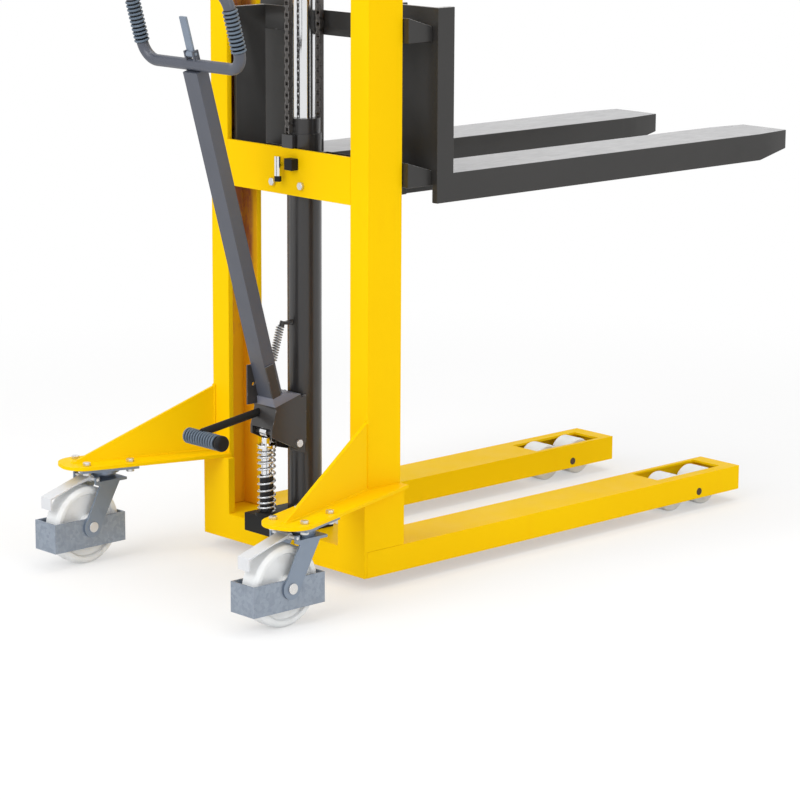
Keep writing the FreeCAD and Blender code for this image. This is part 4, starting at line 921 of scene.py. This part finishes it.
@dataclass
class LiftTrain(Assembly):
    """Ram, crosshead, sheave and the leaf chain over it."""

    pitch: float = 0.0127  # chain's pitch
    link_height: float = 0.0106  # height of a link's plates
    link_width: float = 0.015  # width over the pins
    pin_end: float = 0.0004  # how far a pin stands out
    plate: float = 0.0021  # a plate's thickness
    plate_gap: float = 0.0003  # gap between outer and inner plates
    pin_radius: float = 0.0024  # radius of the pins
    pin_sides: int = 10  # flats round a pin
    end_steps: int = 5  # flats round a plate's end
    end_bulge: float = 0.9  # height of that end, as a share of a half circle's
    arc_steps: int = 24  # straights of the path over the sheave

    def rows(self) -> Rows:
        """The lift's plain solids."""
        return [("lift_ram", CHROME, 1.5), ("crosshead", BLACK, 1.5), ("chain_sheave", STEEL, 1.0),
                ("chain_anchor", BLACK, 1.2)]

    def _link(self, name: str, bands: list[tuple[float, float]], pins: bool) -> Piece:
        """Makes one link along Z.

        Args:
            name: the link's name.
            bands: X limits of its plates.
            pins: whether it carries the two pins.

        Returns:
            A helper object with the link.
        """
        radius, outline = self.link_height / 2, []
        for end in (1, -1):
            for i in range(self.end_steps + 1):
                angle = pi * i / self.end_steps
                rise = self.pitch / 2 + radius * sin(angle) * self.end_bulge
                outline.append((end * radius * cos(angle), end * rise))
        form = bmesh.new()
        for low, high in bands:
            near, far = ([form.verts.new((x, y, z)) for y, z in outline] for x in (low, high))
            form.faces.new(near[::-1])
            form.faces.new(far)
            for i in range(len(outline)):
                j = (i + 1) % len(outline)
                form.faces.new((near[i], near[j], far[j], far[i]))
        for end in (-1, 1) if pins else ():
            spot = Matrix.Translation((0, 0, end * self.pitch / 2)) @ Matrix.Rotation(pi / 2, 4, "Y")
            bmesh.ops.create_cone(form, cap_ends=True, segments=self.pin_sides, radius1=self.pin_radius,
                                  radius2=self.pin_radius, depth=self.link_width, matrix=spot)
        bmesh.ops.recalc_face_normals(form, faces=form.faces)
        return linked(name, made_mesh(name, form))

    def others(self) -> list[Piece]:
        """Lays both runs of the chain.

        Returns:
            The two runs.
        """
        half, thick = self.link_width / 2 - self.pin_end, self.plate
        inside = half - thick - self.plate_gap
        outer = self._link("outer_link", [(half - thick, half), (-half, thick - half)], True)
        inner = self._link("inner_link", [(inside - thick, inside), (-thick / 2, thick / 2),
                                          (-inside, thick - inside)], False)
        rear_low, rear_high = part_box("lift_chain_rear")
        sheave, rear_y = middle_of("chain_sheave"), (rear_low.y + rear_high.y) / 2
        radius, trim = sheave.y - rear_y, self.pitch / 2 + self.link_height / 2
        rear = [Vector((0, rear_y, z)) for z in (rear_low.z + trim, rear_high.z - trim)]
        turns = [pi * i / self.arc_steps for i in range(self.arc_steps + 1)]
        front = [Vector((0, sheave.y - radius * cos(turn), sheave.z + radius * sin(turn)))
                 for turn in turns]
        front.append(Vector((0, sheave.y + radius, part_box("lift_chain_front")[0].z + trim)))
        pieces = []
        for node, run, body, start, end in (("lift_chain_rear", rear, "frame", rear[0], rear[1]),
                                            ("lift_chain_front", front, "carriage", front[-1], front[-2])):
            length = sum((b - a).length for a, b in zip(run, run[1:]))
            mesh = grown(node + "_links", chain_tree(), CHAIN, {
                "Outer": outer, "Inner": inner, "Links": round(length / self.pitch) + 1},
                edge_mesh(node + "_path", [run]))
            piece = placed(node + "_links", mesh, CHAIN)
            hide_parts(node)
            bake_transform(piece)
            pieces.append(piece)
        for helper in (outer, inner):
            bpy.data.objects.remove(helper)
        return pieces


@dataclass
class ForkCarriage(Assembly):
    """Carriage, its rollers and the two forks."""

    bar_edge: float = 2.0  # softened edge of the bars and forks

    def rows(self) -> Rows:
        """The carriage's solids."""
        return [("carriage_frame", FORK_BLACK, self.bar_edge), ("mast_roller_axles", STEEL, 0.8)] + both(
            ("fork_", FORK_BLACK, self.bar_edge), ("mast_roller_lower_", STEEL, 0.8),
            ("mast_roller_upper_", STEEL, 0.8))


@dataclass
class Tiller(Assembly):
    """Rocking lever, tiller tube, handle loop, grips, pedal and release lever."""

    lean: float = radians(15.6)  # the tiller's lean
    grip_radius: float = 0.017  # radius of the handle's sleeves
    grip_x: float = 0.165  # X of a sleeve's axis
    rib: float = 0.0027  # radius of the sleeves' rings
    rib_pitch: float = 0.0088  # spacing of the rings
    plain_end: float = 0.014  # plain end of the pedal's sleeve
    cap_edge: float = 0.0045  # rounding of the plain end's rim
    cap_foot: float = 0.0022  # how far the plain end's foot draws in
    cap_step: float = 0.002  # height of that foot
    cap_sides: int = 48  # flats round the plain end
    half_depth: float = 0.016  # half the tiller tube's depth
    collar_rise: float = 0.0195  # the lever collar's height along the tiller
    collar_half: float = 0.0376  # half the collar's width

    @property
    def up(self) -> Vector:
        """Direction of the tiller."""
        return Vector((0.0, -sin(self.lean), cos(self.lean)))

    def rows(self) -> Rows:
        """The tiller's plain solids."""
        return [("tiller_tube", GREY, 2.5), ("handle_loop", GREY, 0.8), ("pedal_arm", SHADED_CAST, 1.0),
                ("release_lever", ZINC, 1.0)]

    def others(self) -> list[Piece]:
        """The lever and the ribbed sleeves."""
        return [self._lever(), self._pedal(), self._grips()]

    def _lever(self) -> Piece:
        """Dresses the pump lever, its sloping collar in a lighter grey that paints the highlight of a lip
        catching the light.

        Returns:
            The lever.
        """
        low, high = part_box("tiller_tube")
        foot = Vector((0.0, high.y - self.half_depth * cos(self.lean),
                       low.z + self.half_depth * sin(self.lean)))
        piece = self.dress("pump_lever", LEVER_BLACK, 1.2)
        # Painted highlight: the collar's sloping faces take the lighter grey.
        repaint(piece, COLLAR_HIGHLIGHT_GREY, lambda spot: (
            MM < (spot - foot).dot(self.up) < self.collar_rise and abs(spot.x) < self.collar_half))
        return piece

    def _sleeve(self, name: str, radius: float, length: float, plain: float) -> Mesh:
        """Grows one ribbed sleeve along Z, its middle at the origin.

        Args:
            name: the mesh's name.
            radius: radius over the rings.
            length: the sleeve's length.
            plain: length without rings at its upper end.

        Returns:
            The sleeve's mesh.
        """
        ribs = int((length - plain - self.rib * 3) / self.rib_pitch) + 1
        return grown(name, ribbed_tree(), RIB_HIGHLIGHT_RUBBER, {
            "Radius": radius, "Rib": self.rib, "Start": self.rib * 1.5 - length / 2, "Pitch": self.rib_pitch,
            "Ribs": ribs, "Length": length})

    def _pedal(self) -> Piece:
        """Makes the foot pedal's ribbed sleeve with its plain closed end.

        Returns:
            The sleeve.
        """
        low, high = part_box("pedal_grip")
        axis, radius, length = middle_of("pedal_grip"), (high.z - low.z) / 2, high.x - low.x
        short = self.plain_end / 2
        mesh = self._sleeve("pedal_sleeve", radius, length - short, self.plain_end - short)
        mesh.transform(Matrix.Translation((0, 0, -short / 2)))
        form = bmesh.new()
        form.from_mesh(mesh)
        self._cap(form, radius, length)
        form.to_mesh(mesh)
        form.free()
        mesh.transform(turn_to(Vector((1, 0, 0)), axis))
        piece = placed("pedal_sleeve", mesh, RIB_HIGHLIGHT_RUBBER)
        # Painted highlight on the ring crests; the faces between the rings take black rubber as painted
        # shade, and the plain end is black rubber.
        plain_x, crest = high.x - self.plain_end, radius - self.rib * RIB_CREST
        repaint(piece, RUBBER, lambda spot: spot.x > plain_x or (spot - axis).yz.length < crest)
        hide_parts("pedal_grip")
        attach(piece, "pump_lever")
        return piece

    def _cap(self, form: bmesh.types.BMesh, radius: float, length: float) -> None:
        """Adds the rounded plain end of a sleeve along Z.

        Args:
            form: the sleeve's mesh.
            radius: radius over the rings.
            length: the sleeve's length.
        """
        top, edge = length / 2, self.cap_edge
        foot = top - self.plain_end
        profile = ((radius - self.cap_foot, foot), (radius, foot + self.cap_step), (radius, top - edge),
                   (radius - edge * 0.3, top - edge * 0.3), (radius - edge, top))
        turns = [2 * pi * i / self.cap_sides for i in range(self.cap_sides)]
        rings = [[form.verts.new((r * cos(turn), r * sin(turn), z)) for turn in turns]
                 for r, z in profile]
        for lower, upper in zip(rings, rings[1:]):
            for i in range(self.cap_sides):
                j = (i + 1) % self.cap_sides
                form.faces.new((lower[i], lower[j], upper[j], upper[i])).smooth = True
        form.faces.new(rings[-1])
        form.faces.new(rings[0][::-1])

    def _grips(self) -> Piece:
        """Makes the two ribbed sleeves of the handle as one piece.

        Returns:
            The sleeves.
        """
        low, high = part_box("handle_grips")
        length = (high.z - low.z - 2 * self.grip_radius * sin(self.lean)) / cos(self.lean)
        middle = middle_of("handle_grips")
        form = bmesh.new()
        for side in Side:
            mesh = self._sleeve("handle_sleeve", self.grip_radius, length, 0.0)
            mesh.transform(turn_to(self.up, Vector((side.value * self.grip_x, middle.y, middle.z))))
            form.from_mesh(mesh)
            bpy.data.meshes.remove(mesh)
        piece = placed("handle_sleeves", made_mesh("handle_sleeves", form), RIB_HIGHLIGHT_RUBBER)
        # Painted highlight on the ring crests; the faces between the rings take black rubber as painted
        # shade.
        crest = self.grip_radius - self.rib * RIB_CREST
        repaint(piece, RUBBER, lambda spot: self._off_axis(spot - middle) < crest)
        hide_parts("handle_grips")
        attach(piece, "pump_lever")
        return piece

    def _off_axis(self, spot: Vector) -> float:
        """How far a point, seen from the sleeves' middle, is from the nearer sleeve's axis."""
        aside = Vector((abs(spot.x) - self.grip_x, spot.y, spot.z))
        return (aside - self.up * aside.dot(self.up)).length


@dataclass
class BeamFittings(Assembly):
    """Small peg, its cap and the rubber block on the mid beam."""

    edge: float = 1.2  # softened edge

    def rows(self) -> Rows:
        """The fittings."""
        return [("guide_peg", CHROME, self.edge), ("guide_tip", RUBBER, self.edge),
                ("stop_block", RUBBER, self.edge)]


@dataclass
class Studio:
    """Camera, lamps, world and floor."""

    eye: Triple = (5.09396, -4.86855, 1.85154)  # the camera's place
    azimuth: float = 47.048  # its bearing, in degrees
    pitch: float = 12.254  # how far it looks down, in degrees
    roll: float = 0.298  # its roll, in degrees
    lens: float = 136.59  # its focal length, in millimetres
    sensor: float = 36.0  # its sensor's width, in millimetres
    target: Triple = (0.0, -0.2, 0.6)  # what the lamps point at
    ambient: float = 0.68  # level of the world's light
    floor_reach: float = 40.0  # half the floor's side
    floor_tone: float = 0.9  # grey of the floor
    floor_white: float = 0.45  # least share of plain white in the floor
    floor_fade: tuple[float, float] = (1.2, 3.0)  # distances between which that share grows to 1

    def build(self) -> None:
        """Sets up the studio."""
        bpy.context.scene.view_settings.view_transform = "Standard"
        for step in (self._camera, self._world, self._floor, self._lamps):
            step()

    def _camera(self) -> None:
        """Stands the camera where the picture was taken from."""
        turns = [Matrix.Rotation(radians(angle), 4, axis) for angle, axis in (
            (self.azimuth, "Z"), (90.0 - self.pitch, "X"), (self.roll, "Z"))]
        data = bpy.data.cameras.new("camera")
        data.lens, data.sensor_width = self.lens, self.sensor
        data.clip_start, data.clip_end = 0.1, 200.0
        camera = linked("camera", data)
        camera.matrix_world = Matrix.Translation(self.eye) @ turns[0] @ turns[1] @ turns[2]
        bpy.context.scene.camera = camera

    def _lamps(self) -> None:
        """Hangs soft square lamps, each with its place, its side and its power in watts."""
        for name, place, size, power in (
                ("key", (0.2, -4.8, 3.4), 3.0, 114.0), ("side", (4.8, -0.6, 2.6), 3.0, 44.0),
                ("top", (0.2, 0.4, 5.2), 3.4, 94.0)):
            data = bpy.data.lights.new(name, "AREA")
            data.size, data.energy = size, power
            lamp = linked(name, data)
            lamp.location = place
            lamp.rotation_mode = "QUATERNION"
            lamp.rotation_quaternion = (Vector(self.target) - lamp.location).to_track_quat("-Z", "Y")

    def _world(self) -> None:
        """Makes a white surround with a plain level of light."""
        world = bpy.data.worlds.new("surround")
        world.use_nodes = True
        bpy.context.scene.world = world
        wires = Wires(world.node_tree)
        background = world.node_tree.nodes["Background"]
        background.inputs["Color"].default_value = (1.0, 1.0, 1.0, 1.0)
        wires.feed(background.inputs["Strength"], wires.ramp(wires.seen(), 0.0, 1.0, self.ambient, 1.0))

    def _floor(self) -> None:
        """Lays a pale floor that fades into the white surround."""
        r, tone = self.floor_reach, self.floor_tone
        mesh = bpy.data.meshes.new("floor")
        mesh.from_pydata([(-r, -r, 0), (r, -r, 0), (r, r, 0), (-r, r, 0)], [], [(0, 1, 2, 3)])
        wires = Brush("floor", (tone, tone, tone))
        wires.put({"Base Color": (tone, tone, tone, 1.0), "Roughness": 0.9, "Specular IOR Level": 0.0})
        glow = wires.out("ShaderNodeEmission", {"Strength": 1.0})
        far = wires.add("ShaderNodeVectorMath", {0: wires.place}, operation="LENGTH").outputs["Value"]
        white = wires.times(wires.ramp(far, *self.floor_fade, self.floor_white, 1.0), wires.seen())
        mixed = wires.out("ShaderNodeMixShader", {0: white, 1: wires.shader.outputs[0], 2: glow})
        wires.feed(wires.tree.nodes["Material Output"].inputs["Surface"], mixed)
        mesh.materials.append(wires.material)
        linked("floor", mesh)


def main() -> None:
    """Builds every sub-assembly and the studio."""
    logging.basicConfig(level=logging.INFO, format="%(message)s")
    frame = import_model()
    Studio().build()
    bodies = frame["record"]["behaviour"]["bodies"]
    body_of = {node: body for body, members in bodies.items() for node in members}
    for kind in (WeldedFrame, LoadRollers, Casters, PumpUnit, LiftTrain, ForkCarriage, Tiller, BeamFittings):
        for piece in kind(frame["nodes"], body_of).build():
            log.info("%s: %s with %d faces", kind.__name__, piece.name, len(piece.data.polygons))


if __name__ == "__main__":
    main()
